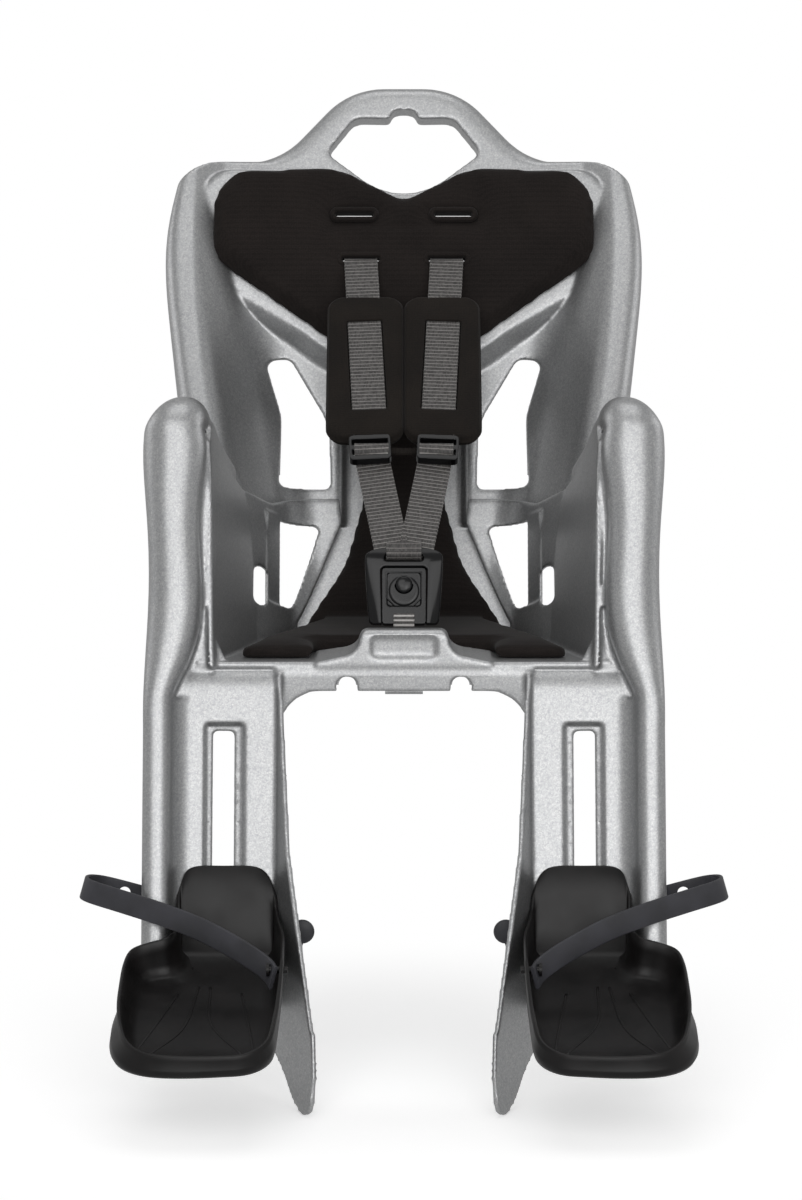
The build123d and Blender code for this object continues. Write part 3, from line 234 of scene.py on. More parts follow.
def grid_piece(name, rows, ring=False, caps=False):
    """New piece from rows of points: a grid primitive whose vertices are put in place row by row."""
    deselect()
    if ring:
        rows = [list(row) + [row[0]] for row in rows]
    across, along = len(rows[0]) - 1, len(rows) - 1
    bpy.ops.mesh.primitive_grid_add(x_subdivisions=across, y_subdivisions=along, size=2)
    piece = bpy.context.object
    piece.name = name
    piece.data.name = name
    for index, vertex in enumerate(piece.data.vertices):
        vertex.co = rows[index // (across + 1)][index % (across + 1)]
    edit_all(piece)
    if ring:
        bpy.ops.mesh.remove_doubles(threshold=0.001 * MM)
    if caps:
        bpy.ops.mesh.select_all(action="DESELECT")
        bpy.ops.mesh.select_non_manifold()
        bpy.ops.mesh.fill_holes(sides=0)
        bpy.ops.mesh.select_all(action="SELECT")
    bpy.ops.mesh.normals_make_consistent(inside=False)
    leave_edit()
    return piece


def join(pieces, name):
    """Joins several pieces into one."""
    deselect()
    for piece in pieces:
        piece.select_set(True)
    bpy.context.view_layer.objects.active = pieces[0]
    bpy.ops.object.join()
    pieces[0].name = name
    return pieces[0]


def mirrored(piece, name):
    """Mirror image of a piece across the middle of the seat, with its faces turned outwards."""
    activate(piece)
    bpy.ops.object.duplicate()
    other = bpy.context.object
    other.name = name
    other.data.transform(Matrix.Diagonal((-1, 1, 1, 1)))
    edit_all(other)
    bpy.ops.mesh.flip_normals()
    leave_edit()
    return other


def dress(piece, material, body, slot, *nodes):
    """Gives a finished piece its material and its body, and hides the imported nodes that it stands for; the slot is
    not used.
    """
    piece.data.materials.clear()
    piece.data.materials.append(material)
    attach(piece, body)
    if nodes:
        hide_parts(*nodes)
    return piece


def rounded_ring(half_wide, half_tall, radius, steps=7):
    """Points round a rounded rectangle, in its own plane."""
    points = []
    for turn, sx, sy in ((0, 1, 1), (90, -1, 1), (180, -1, -1), (270, 1, -1)):
        for step in range(steps + 1):
            angle = radians(turn + 90 * step / steps)
            points.append((sx * (half_wide - radius) + radius * cos(angle), sy * (half_tall - radius) + radius * sin(angle)))
    return points


def rounded_path(corners, steps=8):
    """Points round a closed outline of (x, y, radius) corners, each corner turned into an arc."""
    points = []
    for index, (x, y, radius) in enumerate(corners):
        here = Vector((x, y))
        before = (Vector(corners[index - 1][:2]) - here).normalized()
        after = (Vector(corners[(index + 1) % len(corners)][:2]) - here).normalized()
        if radius == 0:
            points.append((x, y))
            continue
        half = before.angle(after) / 2
        centre = here + (before + after).normalized() * (radius / sin(half))
        start = here + before * (radius * cos(half) / sin(half)) - centre
        end = here + after * (radius * cos(half) / sin(half)) - centre
        for step in range(steps + 1):
            spoke = start.lerp(end, step / steps).normalized() * radius
            points.append(tuple(centre + spoke))
    return points


def slab(name, place, outline, low, high):
    """Solid between two heights over an outline in the plane of a frame, all in millimetres."""
    rows = [[place @ (Vector((x, y, height)) * MM) for x, y in outline] for height in (low, high)]
    return grid_piece(name, rows, ring=True, caps=True)


def cut(piece, cutter):
    """Takes the cutter away from a piece."""
    modify(piece, "BOOLEAN", operation="DIFFERENCE", solver="EXACT", object=cutter)
    bpy.data.objects.remove(cutter)


def line_through(points, step):
    """Even points along a smooth line through the given ones."""
    spots = [Vector(p) for p in points]
    ends = [spots[0] * 2 - spots[1]] + spots + [spots[-1] * 2 - spots[-2]]
    fine = []
    for a, b, c, d in zip(ends, ends[1:], ends[2:], ends[3:]):
        fine += interpolate_bezier(b, b + (c - a) / 6, c - (d - b) / 6, c, 24)[:-1]
    fine.append(spots[-1])
    length = sum((q - p).length for p, q in zip(fine, fine[1:]))
    count = max(2, round(length / step))
    result, walked, target = [], 0.0, 0.0
    for p, q in zip(fine, fine[1:]):
        piece = (q - p).length
        while piece > 0 and target <= walked + piece + 1e-9 and len(result) <= count:
            result.append(p.lerp(q, max(0.0, (target - walked) / piece)))
            target += length / count
        walked += piece
    while len(result) <= count:
        result.append(spots[-1].copy())
    return result


# Materials

def flake_plastic():
    """Silver moulded polypropylene with metal flake: a satin skin that glitters in fine grains."""
    material, tree, shader = new_material("silver_flake_polypropylene")
    place = node(tree, "ShaderNodeTexCoord").outputs["Object"]
    # Flakes of 0.3 mm are too fine for the picture, so they are drawn about 0.9 mm wide
    flakes = node(tree, "ShaderNodeTexVoronoi", {"Vector": place, "Scale": 1 / (0.9 * MM)})
    clouds = node(tree, "ShaderNodeTexNoise", {"Vector": place, "Scale": 1 / (2.2 * MM), "Detail": 3.0})
    glitter = ramp(tree, flakes.outputs["Color"], ((0.0, hexa("8c8d8f")), (0.55, hexa("a9aaab")), (1.0, hexa("cacac8"))))
    patch = ramp(tree, clouds.outputs["Fac"], ((0.3, hexa("9a9b9d")), (0.7, hexa("b0b0b0"))))
    colour = node(tree, "ShaderNodeMix", {"Factor": 0.5, "A": glitter, "B": patch}, data_type="RGBA")
    tree.links.new(colour.outputs["Result"], shader.inputs["Base Color"])
    rough = node(tree, "ShaderNodeMapRange", {"Value": flakes.outputs["Distance"], "To Min": 0.34, "To Max": 0.5})
    tree.links.new(rough.outputs["Result"], shader.inputs["Roughness"])
    skin = node(tree, "ShaderNodeBump", {"Height": clouds.outputs["Fac"], "Strength": 0.12, "Distance": 0.15 * MM})
    tree.links.new(skin.outputs["Normal"], shader.inputs["Normal"])
    shader.inputs["Metallic"].default_value = 0.9
    shader.inputs["Coat Weight"].default_value = 0.12
    shader.inputs["Coat Roughness"].default_value = 0.3
    return material


def knit_cloth(name, dark, light, pitch):
    """Brushed polyester knit over foam: nearly black, with a soft sheen and a fine mesh of loops."""
    material, tree, shader = new_material(name)
    place = node(tree, "ShaderNodeTexCoord").outputs["Object"]
    # Loops of 0.6 mm are drawn coarser, at the given pitch, so that they show
    loops = node(tree, "ShaderNodeTexVoronoi", {"Vector": place, "Scale": 1 / pitch, "Randomness": 0.35})
    wear = node(tree, "ShaderNodeTexNoise", {"Vector": place, "Scale": 1 / (38 * MM), "Detail": 4.0})
    thread = ramp(tree, loops.outputs["Distance"], ((0.1, hexa(light)), (0.75, hexa(dark))))
    faded = ramp(tree, wear.outputs["Fac"], ((0.35, hexa(dark)), (0.75, hexa(light))))
    colour = node(tree, "ShaderNodeMix", {"Factor": 0.4, "A": thread, "B": faded}, data_type="RGBA")
    tree.links.new(colour.outputs["Result"], shader.inputs["Base Color"])
    bump = node(tree, "ShaderNodeBump", {"Height": loops.outputs["Distance"], "Strength": 0.35, "Distance": 0.25 * MM},
                invert=True)
    tree.links.new(bump.outputs["Normal"], shader.inputs["Normal"])
    shader.inputs["Roughness"].default_value = 0.92
    shader.inputs["Specular IOR Level"].default_value = 0.15
    shader.inputs["Sheen Weight"].default_value = 0.05
    shader.inputs["Sheen Roughness"].default_value = 0.4
    return material


def polyester_webbing(rib):
    """Grey polyester webbing with ribs across it: the colour is painted lighter on the ribs as painted highlight and
    darker in the gaps between them as painted shade.
    """
    material, tree, shader = new_material("grey_polyester_webbing")
    flat = node(tree, "ShaderNodeUVMap", uv_map="UVMap").outputs["UV"]
    apart = node(tree, "ShaderNodeSeparateXYZ", {"Vector": flat})
    turns = node(tree, "ShaderNodeMath", {0: apart.outputs["Y"], 1: 2 * pi / rib}, operation="MULTIPLY")
    ribs = node(tree, "ShaderNodeMath", {0: turns.outputs["Value"]}, operation="COSINE")
    threads = node(tree, "ShaderNodeTexVoronoi", {"Vector": flat, "Scale": 1 / (0.9 * MM), "Randomness": 0.5})
    rib_light_level = node(tree, "ShaderNodeMapRange", {"Value": ribs.outputs["Value"], "From Min": -1.0, "From Max": 1.0})
    # Painted light: this ramp paints the rib tops near white as painted highlight and the gaps between ribs near black
    # as painted shade
    base = ramp(tree, rib_light_level.outputs["Result"], ((0.0, hexa("161413")), (0.42, hexa("3a3735")), (0.66, hexa("8e8b88")), (1.0, hexa("d2cfcc"))))
    fleck = ramp(tree, threads.outputs["Color"], ((0.2, hexa("474443")), (0.9, hexa("a4a19e"))))
    colour = node(tree, "ShaderNodeMix", {"Factor": 0.2, "A": base, "B": fleck}, data_type="RGBA")
    tree.links.new(colour.outputs["Result"], shader.inputs["Base Color"])
    bump = node(tree, "ShaderNodeBump", {"Height": threads.outputs["Distance"], "Strength": 0.4, "Distance": 0.2 * MM})
    tree.links.new(bump.outputs["Normal"], shader.inputs["Normal"])
    shader.inputs["Roughness"].default_value = 0.62
    shader.inputs["Sheen Weight"].default_value = 0.08
    return material


def black_plastic(name, dark, light, low, high, shine, grain, depth):
    """Black moulded plastic: its gloss runs between two roughness values, over a fine moulded grain."""
    material, tree, shader = new_material(name)
    place = node(tree, "ShaderNodeTexCoord").outputs["Object"]
    pores = node(tree, "ShaderNodeTexNoise", {"Vector": place, "Scale": 1 / grain, "Detail": 2.0})
    wear = node(tree, "ShaderNodeTexNoise", {"Vector": place, "Scale": 1 / (22 * MM), "Detail": 5.0})
    colour = ramp(tree, wear.outputs["Fac"], ((0.35, hexa(dark)), (0.75, hexa(light))))
    tree.links.new(colour, shader.inputs["Base Color"])
    rough = node(tree, "ShaderNodeMapRange", {"Value": wear.outputs["Fac"], "From Min": 0.3, "From Max": 0.7,
                                              "To Min": low, "To Max": high})
    tree.links.new(rough.outputs["Result"], shader.inputs["Roughness"])
    bump = node(tree, "ShaderNodeBump", {"Height": pores.outputs["Fac"], "Strength": 0.25, "Distance": depth})
    tree.links.new(bump.outputs["Normal"], shader.inputs["Normal"])
    shader.inputs["Specular IOR Level"].default_value = shine
    return material


def zinc_steel():
    """Zinc-plated steel wire and screws: pale, slightly cloudy metal."""
    material, tree, shader = new_material("zinc_plated_steel")
    place = node(tree, "ShaderNodeTexCoord").outputs["Object"]
    clouds = node(tree, "ShaderNodeTexNoise", {"Vector": place, "Scale": 1 / (2.5 * MM), "Detail": 4.0})
    colour = ramp(tree, clouds.outputs["Fac"], ((0.3, hexa("9a9a98")), (0.7, hexa("c4c4c0"))))
    tree.links.new(colour, shader.inputs["Base Color"])
    rough = node(tree, "ShaderNodeMapRange", {"Value": clouds.outputs["Fac"], "To Min": 0.25, "To Max": 0.45})
    tree.links.new(rough.outputs["Result"], shader.inputs["Roughness"])
    shader.inputs["Metallic"].default_value = 1.0
    return material


FINISHES = {}


def finish_of(name):
    """The material of one finish, made once."""
    makers = {
        "shell": flake_plastic,
        "pad": lambda: knit_cloth("black_pad_knit", "181514", "2a2523", 1.3 * MM),
        "shoulder_pad": lambda: knit_cloth("black_sleeve_knit", "161413", "28231f", 1.2 * MM),
        "webbing": lambda: polyester_webbing(bpy.context.scene.seat_padding.rib),
        "buckle": lambda: black_plastic("gloss_black_nylon", "060607", "0d0d0f", 0.14, 0.22, 0.32, 0.7 * MM, 0.03 * MM),
        "footrest": lambda: black_plastic("satin_black_polypropylene", "0f0e0e", "191717", 0.3, 0.44, 0.26, 0.8 * MM, 0.08 * MM),
        "strap": lambda: black_plastic("slate_rubber", "28282c", "38383e", 0.46, 0.6, 0.5, 0.9 * MM, 0.06 * MM),
        "steel": zinc_steel,
    }
    if name not in FINISHES:
        FINISHES[name] = makers[name]()
    return FINISHES[name]


# Ways of making

def moulded(piece, grain, rounds, triangles):
    """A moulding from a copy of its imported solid: remeshed evenly and eased, so that every edge is a little round."""
    modify(piece, "REMESH", mode="VOXEL", voxel_size=grain)
    modify(piece, "SMOOTH", factor=0.5, iterations=rounds)
    count = sum(len(p.vertices) - 2 for p in piece.data.polygons)
    if count > triangles:
        modify(piece, "DECIMATE", ratio=triangles / count)
    smooth(piece, 60)
    return piece


def stuffed(piece, pressure, cap, ahead):
    """Swells a padded piece with cloth under pressure, forwards only, and no further than the cap."""
    activate(piece)
    scene = bpy.context.scene
    before = [v.co.copy() for v in piece.data.vertices]
    facing = [max(0.0, min(1.0, 1.6 * v.normal.dot(ahead) + 0.25)) for v in piece.data.vertices]
    cloth = piece.modifiers.new("Swell", "CLOTH")
    cloth.settings.use_pressure = True
    cloth.settings.uniform_pressure_force = pressure
    cloth.settings.effector_weights.gravity = 0
    cloth.settings.quality = 4
    cloth.point_cache.frame_start = 1
    cloth.point_cache.frame_end = 16
    for step in range(1, 17):
        scene.frame_set(step)
    bpy.ops.object.modifier_apply(modifier=cloth.name)
    scene.frame_set(1)
    for vertex, old, share in zip(piece.data.vertices, before, facing):
        move = vertex.co - old
        length = move.length
        if length > cap:
            move *= cap / length
        vertex.co = old + move * share


def woven(name, spots, across, rib, wide=WEB_WIDE, thick=1.7 * MM):
    """Webbing along a line: ribs across it stand up from a ribbon of real thickness, with a selvedge at each edge."""
    columns = 14
    rows, walked = [], 0.0
    lengths = []
    for index, spot in enumerate(spots):
        ahead = (spots[min(index + 1, len(spots) - 1)] - spots[max(index - 1, 0)]).normalized()
        side = across[index] if isinstance(across, list) else across
        side = (side - ahead * side.dot(ahead)).normalized()
        out = side.cross(ahead)
        if index:
            walked += (spot - spots[index - 1]).length
        lengths.append(walked)
        row = []
        for column in range(columns + 1):
            place = column / columns - 0.5
            phase = 2 * pi * walked / rib
            knot = 0.26 * MM * cos(phase) + 0.07 * MM * cos(phase / 2 + pi * column)
            edge = 0.35 * MM if column in (0, columns) else 0.0
            row.append(spot + side * (place * wide) + out * (thick / 2 + knot - edge))
        rows.append(row)
    piece = grid_piece(name, rows)
    if piece.data.polygons[0].normal.dot((rows[0][1] - rows[0][0]).cross(rows[1][0] - rows[0][0])) < 0:
        edit_all(piece)
        bpy.ops.mesh.flip_normals()
        leave_edit()
    layer = piece.data.uv_layers[0]
    layer.name = "UVMap"
    for loop in piece.data.loops:
        row, column = divmod(loop.vertex_index, columns + 1)
        layer.data[loop.index].uv = (wide * column / columns, lengths[row])
    modify(piece, "SOLIDIFY", thickness=thick, offset=-1.0)
    smooth(piece, 60)
    return piece


def harness_spot(side, along, above, leaning=True):
    """Point on the harness, at a distance below its slot and above its plane."""
    inwards = along * sin(WEB_LEAN) / cos(WEB_LEAN) if leaning else 0.0
    return HARNESS @ Vector((side * (SLOT_X - inwards), -along, above))


class SEAT_OT_shells(Operator):
    """Moulds the seat shell and the backrest shell in silver flake plastic"""
    bl_idname = "seat.shells"
    bl_label = "Shells"

    # Rows up the back: height, then half widths of panel, crest and outer face, depth of the crest,
    # and how much wider the crest is than in the solids
    WINGS = ((-80, 76, 92, 150, 86, 9), (60, 84, 107, 156, 80, 13), (130, 91, 117, 164, 74, 17), (200, 102, 136, 174, 60, 13),
             (260, 112, 150, 181, 44, 7), (310, 122, 158, 182.5, 30, 3), (352, 130, 161, 176, 18, 0), (460, 132, 158, 170, 12, 0))
    TUB_FRONT = (146, 230)

    def execute(self, context):
        sizes = context.scene.seat_shell_sizes
        for cad, shape in (("seat_shell", self.close_arms), ("backrest_shell", self.crown)):
            piece = copy_of(cad, cad + "_moulding")
            self.widen(piece)
            piece = join([piece] + shape(piece), piece.name)
            moulded(piece, sizes.grain, 7, sizes.triangles)
            dress(piece, finish_of("shell"), "seat", "shell", cad)
        return {"FINISHED"}

    def widen(self, piece):
        """Moves the crests of the wings and hip walls outwards, so that the panels turn up later."""
        inwards = BACK.inverted()
        across = Vector((1, 0, 0))
        for vertex in piece.data.vertices:
            x, up, ahead = inwards @ vertex.co / MM
            low, high = next(pair for pair in zip(self.WINGS, self.WINGS[1:]) if up < pair[1][0])
            share = max(0.0, (up - low[0]) / (high[0] - low[0]))
            flat, crest, outer, depth, grow = (a + share * (b - a) for a, b in zip(low[1:], high[1:]))
            if ahead < depth:
                rise = max(0.0, ahead / depth)
                panel = flat + (crest - flat) * rise
            else:
                rise = max(0.0, 1 - (ahead - depth) / (self.TUB_FRONT[1] - depth))
                panel = self.TUB_FRONT[0] + (crest - self.TUB_FRONT[0]) * rise
            within = max(0.0, min(1.0, (abs(x) - panel) / max(outer - panel, 8)))
            reach = max(0.0, min(1.0, abs(x) / panel))
            side = 1 if x > 0 else -1
            vertex.co += across * (side * grow * MM * rise * (1 - within) * reach ** 2)

    def close_arms(self, shell):
        """Webs in the plane of the legs' faces that close the space inside the arms, and round ends of the fins."""
        web = [(161, -8), (161, 22), (158, 60), (150, 120), (149, 176), (138, 176), (135, 100), (136, 40), (124, 16), (124, -8)]
        strip = [(147, -6), (158, 46), (150, 120), (149, 178), (139, 178), (137, 100), (138, 46), (136, -6)]
        made = [slab("arm_web", LEG, [(side * x, up) for x, up in web], -6, -2) for side in (-1, 1)]
        for piece in made:
            self.sink(piece, 60, 8)
        strips = [slab("arm_strip", LEG, [(side * x, up) for x, up in strip], -9, 4) for side in (-1, 1)]
        for piece in strips:
            self.sink(piece, 100, 9)
        made += strips
        for side in (-1, 1):
            slot = [(side * 107.5 + a, 32 + b) for a, b in rounded_ring(4.5, 15, 4.3)]
            cut(shell, slab("belt_cutter", BACK, slot, 5, 110))
            up = BACK.to_3x3() @ Vector((0, 1, 0))
            along = BACK.to_3x3() @ Vector((side * 0.36, 0, 0.933))
            wall = framed(BACK @ Vector((side * 0.0945, 0, 0.0265)), along, up, along.cross(up))
            bar = rounded_path(((0, -22, 0), (0, 93, 0), (25, 93, 0), (25, -22, 0)))
            made.append(slab("window_bar", wall, bar, -1.6, 1.6))
        tip = rounded_path(((0, -246, 0), (4, -262, 12), (26, -290, 30), (42, -302, 12), (57, -302, 9), (63, -278, 40), (61, -246, 0)))
        for side in (-1, 1):
            lean = radians(25)
            along = Vector((-side * sin(lean), 0, 0)) + LEG_OUT * cos(lean)
            place = framed(LEG @ Vector((side * 0.088, 0, 0)), along, LEG_UP, along.cross(LEG_UP))
            made.append(slab("fin_tip", place, tip, -2, 2))
        return made

    def sink(self, piece, high, depth):
        """Lets a web's lower end sink into the leg, below a height on the leg's plane."""
        for vertex in piece.data.vertices:
            up = (LEG.inverted() @ vertex.co).y / MM
            vertex.co -= LEG_OUT * (depth * MM * max(0.0, min(1.0, (high - up) / (high + 6))))

    def crown(self, shell):
        """Rounds the shoulders and puts the carrying handle, with its soft curves, on top."""
        front, back, wall = 3, -17, 4
        for side in (-1, 1):
            corner = [(134 + 50 * cos(radians(a)), 329 + 50 * sin(radians(a))) for a in range(5, 91, 5)]
            outside = corner + [(134, 400), (230, 400), (230, 300), (186.5, 300)]
            cut(shell, slab("shoulder_cutter", BACK, [(side * x, up) for x, up in outside], -60, 140))
        square = [(-150, 379.5), (150, 379.5), (150, 470), (-150, 470)]
        cut(shell, slab("handle_cutter", BACK, square, -60, 60))
        cut(shell, slab("grip_cutter", BACK, self.grip(0), -60, 60))
        plate = slab("crown_plate", BACK, self.handle(8), front - wall, front)
        cut(plate, slab("grip_cutter", BACK, self.grip(0), -60, 60))
        made = [plate, self.rest(((13, -2), (8, 9), (5, 13.5)))]
        cut(made[1], self.rest(((7, -10), (4, 6), (1, 9.5))))
        for x, up in STRAP_SLOTS:
            opening = [(x / MM + a, up / MM + b) for a, b in rounded_ring(17, 3.5, 3.4)]
            cut(made[1], slab("slot_cutter", BACK, opening, -60, 60))
        edge = ((0, back), (0, front - 9), (0.9, front - 5), (2.8, front - 2.2), (5.5, front - 0.6), (9, front), (9, front - wall),
                (wall + 1, front - 9), (wall, back), (0, back))
        square = ((0, back), (0, front), (wall, front), (wall, back), (0, back))
        return made + [self.rim(self.handle, edge), self.rim(self.grip, square)]

    def rest(self, levels):
        """Solid of the shoulder rest through some (growth, height) levels."""
        rows = [[BACK @ (Vector((x, up, out)) * MM) for x, up in self.heart(grow)] for grow, out in levels]
        return grid_piece("shoulder_rest", rows, ring=True, caps=True)

    def heart(self, grow):
        """Outline of the shoulder rest under the padded cover: two lobes, a notch above and a point below."""
        half = ((62, 366 + 0.2 * grow, 40), (149 + grow, 369 + 0.2 * grow, 30), (156 + grow, 318 - 0.5 * grow, 30),
                (130 + grow, 279 - grow, 40), (60 + grow, 236 - grow, 20))
        other = tuple((-x, up, radius) for x, up, radius in reversed(half))
        return rounded_path(((0, 344, 14),) + half + ((0, 198 - grow, 12),) + other)

    def handle(self, inset):
        """Outline of the crown and its carrying handle."""
        half = ((136 - inset, 338, 0), (136 - inset, 379 - inset, 10), (98 - inset, 379 - inset, 60 + inset),
                (42 - inset, 439 - inset, 60 - inset))
        return rounded_path(half + tuple((-x, up, radius) for x, up, radius in reversed(half)))

    def grip(self, inset):
        """Opening of the carrying handle, with a notch for a finger; an inset makes it larger."""
        half = ((8, 420 + inset, 6), (11 + inset, 412.5 + inset, 3), (38 + inset, 413 + inset, 12), (60 + inset, 385, 7))
        points = ((0, 340 - inset, 52),) + tuple((-x, up, radius) for x, up, radius in reversed(half)) + half
        return rounded_path(points)

    def rim(self, outline, spots):
        """Upright wall of the hollow crown along an outline, through (inset, height) spots."""
        rows = [[BACK @ (Vector((x, up, out)) * MM) for x, up in outline(inset)] for inset, out in spots]
        return grid_piece("crown_rim", rows, ring=True)


class SEAT_OT_pad(Operator):
    """Makes the padded cover and the welded rims of its slots"""
    bl_idname = "seat.pad"
    bl_label = "Padded cover"
    # How much wider the lobes are than in the solids, at heights up the back
    LOBES = ((236, 1.0), (248, 1.02), (262, 1.13), (281, 1.145), (302, 1.12), (331, 1.04), (347, 1.02), (380, 1.0), (420, 1.0))

    def execute(self, context):
        piece = copy_of("seat_pad", "padded_cover")
        inwards = BACK.inverted()
        for vertex in piece.data.vertices:
            up = (inwards @ vertex.co).y / MM
            lift = max(0.0, min(1.0, (up - 300) / 67))
            low, high = next((pair for pair in zip(self.LOBES, self.LOBES[1:]) if pair[0][0] <= up < pair[1][0]), self.LOBES[-2:])
            wider = low[1] + (high[1] - low[1]) * (up - low[0]) / (high[0] - low[0]) if up > self.LOBES[0][0] else 1.0
            vertex.co.x *= wider
            drop = 7 * (abs(vertex.co.x) / 0.14) ** 3
            vertex.co += BACK.to_3x3() @ Vector((0, (6 - drop) * MM * lift, 0))
        modify(piece, "REMESH", mode="VOXEL", voxel_size=3.4 * MM)
        modify(piece, "SMOOTH", factor=0.5, iterations=4)
        stuffed(piece, 4.0, context.scene.seat_padding.swell, Vector((0, -0.8, 0.6)))
        modify(piece, "SUBSURF", levels=1, render_levels=1)
        for place in STRAP_SLOTS:
            cutter = grid_piece("slot_cutter", [self.ring(place, 0, out) for out in (6, 45)], ring=True, caps=True)
            modify(piece, "BOOLEAN", operation="DIFFERENCE", solver="EXACT", object=cutter)
            bpy.data.objects.remove(cutter)
        smooth(piece, 80)
        dress(piece, finish_of("pad"), "seat", "pad", "seat_pad")
        for index, place in enumerate(STRAP_SLOTS):
            profile = ((-0.7, 14), (-0.7, 25.4), (0.4, 26.6), (1.9, 26.9), (3.2, 26.2), (4.0, 23.5))
            rim = grid_piece("slot_rim_%d" % index, [self.ring(place, *spot) for spot in profile], ring=True)
            modify(rim, "SUBSURF", levels=1, render_levels=1)
            smooth(rim, 80)
            dress(rim, finish_of("pad"), "seat", "pad")
        return {"FINISHED"}

    def ring(self, place, grow, out):
        """Points round a slot of the cover, grown by some millimetres and at a height above the backrest."""
        points = rounded_ring((15 + grow) * MM, (2.2 + grow) * MM, (2.1 + grow) * MM)
        return [BACK @ Vector((place[0] + a, place[1] + b, out * MM)) for a, b in points]


class SEAT_OT_shoulder_pads(Operator):
    """Makes the two padded sleeves on the shoulder straps, each with a window that shows the webbing"""
    bl_idname = "seat.shoulder_pads"
    bl_label = "Shoulder pads"

    def execute(self, context):
        wide = context.scene.seat_padding.shoulder_wide
        middle, half = 0.108, 0.070
        for side, word in ((-1, "left"), (1, "right")):
            base = []
            for grow, out in ((-14, -9.6), (-4, -10.6), (-0.8, -9.2), (0, -6.5), (0.2, -4.6), (-3, -1.9), (-14, -1.5)):
                ring = rounded_ring(wide / 2 + grow * MM, half + grow * MM, 0.013 + 0.5 * grow * MM if grow > -14 else 0.004)
                base.append([HARNESS @ Vector((side * 0.029 + a, -middle + b, out * MM)) for a, b in ring])
            cushion = grid_piece("shoulder_cushion_" + word, base, ring=True, caps=True)
            lean = side * (SLOT_X - middle * sin(WEB_LEAN) / cos(WEB_LEAN))
            front = []
            outer = (wide / 2, half, 0.013)
            window = (0.0137, 0.0435, 0.0022)
            for share, out in ((0.0, -4.8), (-0.05, -3.9), (-0.05, -3.0), (0.0, -2.2), (0.04, 0.2), (0.12, 1.5), (0.4, 2.4), (0.75, 2.3),
                               (0.93, 2.1), (1.0, 1.5), (1.0, 0.2)):
                size = [o + (w - o) * share for o, w in zip(outer, window)]
                centre = side * 0.029 + (lean - side * 0.029) * share
                turn = side * WEB_LEAN * share
                ring = [(a * cos(turn) + b * sin(turn), b * cos(turn) - a * sin(turn)) for a, b in rounded_ring(*size)]
                lip = 1.2 if share > 0.7 else 0.0
                front.append([HARNESS @ Vector((centre + a, -middle + b, (out + lip * (abs(b) > 0.04)) * MM)) for a, b in ring])
            cover = grid_piece("shoulder_cover_" + word, front, ring=True)
            piece = join([cushion, cover], "shoulder_sleeve_" + word)
            modify(piece, "SUBSURF", levels=2, render_levels=2)
            smooth(piece, 80)
            dress(piece, finish_of("shoulder_pad"), "seat", "shoulder_pad", "shoulder_pad_" + word)
        return {"FINISHED"}


class SEAT_OT_webbing(Operator):
    """Weaves the shoulder straps, the vee of lower straps, the crotch strap and the keeper band"""
    bl_idname = "seat.webbing"
    bl_label = "Webbing"

    def execute(self, context):
        rib = context.scene.seat_padding.rib
        step = rib / 6
        across = Vector((1, 0, 0))
        loops = []
        for side, word in ((-1, "left"), (1, "right")):
            slot = [BACK @ Vector((side * SLOT_X, SLOT_UP, d * MM)) for d in (10, 17, 22)]
            run = [harness_spot(side, a * MM, 0) for a in (4, 12, 40, 80, 120, 160, 180)]
            wrap = [harness_spot(side, a * MM, b * MM) for a, b in ((186, 1.5), (189, 7), (193, 8.6), (197, 7), (199, 2.5))]
            strap = woven("shoulder_strap_" + word, line_through(slot + run + wrap, step), across, rib)
            dress(strap, finish_of("webbing"), "seat", "webbing", "shoulder_webbing_" + word)
            foot = BUCKLE @ Vector((side * 0.0095, 0.0585, 0.0035))
            start = harness_spot(side, ADJUSTER_DOWN + 0.002, -1.0 * MM)
            tuck = BUCKLE @ Vector((side * 0.0085, 0.050, -0.003))
            lower = woven("lower_strap_" + word, line_through([start, start.lerp(foot, 0.5), foot, tuck], step), across, rib)
            loops.append(lower)
        around = [(51.5, -2.6), (57.4, -2.6), (58.6, 1.0), (58.6, 8.4), (57.0, 11.6), (50.2, 11.4), (48.4, 7.5), (48.4, 0.0)]
        fold = [BUCKLE @ Vector((0, v * MM, n * MM)) for v, n in around]
        loops.append(woven("yoke_fold", line_through(fold, step), across, rib))
        vee = join(loops, "lower_straps")
        dress(vee, finish_of("webbing"), "seat", "webbing", "lower_webbing")
        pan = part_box("crotch_strap")[0].z
        crotch = [(0, 0.108, pan), (0, 0.108, 0.016), (0, 0.1055, 0.0235), (0, 0.090, 0.0285), (0, 0.076, 0.0315)]
        crotch += [BUCKLE @ Vector((0, v * MM, n * MM)) for v, n in ((-2.2, 0.5), (-3.0, 5.0), (-1.6, 8.6), (2.0, 9.3), (7.8, 9.2))]
        strap = woven("crotch_webbing", line_through(crotch, step), across, rib, wide=0.015)
        dress(strap, finish_of("webbing"), "seat", "webbing", "crotch_strap")
        band = [HARNESS @ Vector((x * MM, (-188 + 0.003 * x * x) * MM, -2.1 * MM)) for x in range(-20, 21, 4)]
        keeper = woven("keeper_ribbon", line_through(band, step), HARNESS_UP, rib, wide=0.0065)
        dress(keeper, finish_of("shoulder_pad"), "seat", "webbing", "keeper_band")
        return {"FINISHED"}


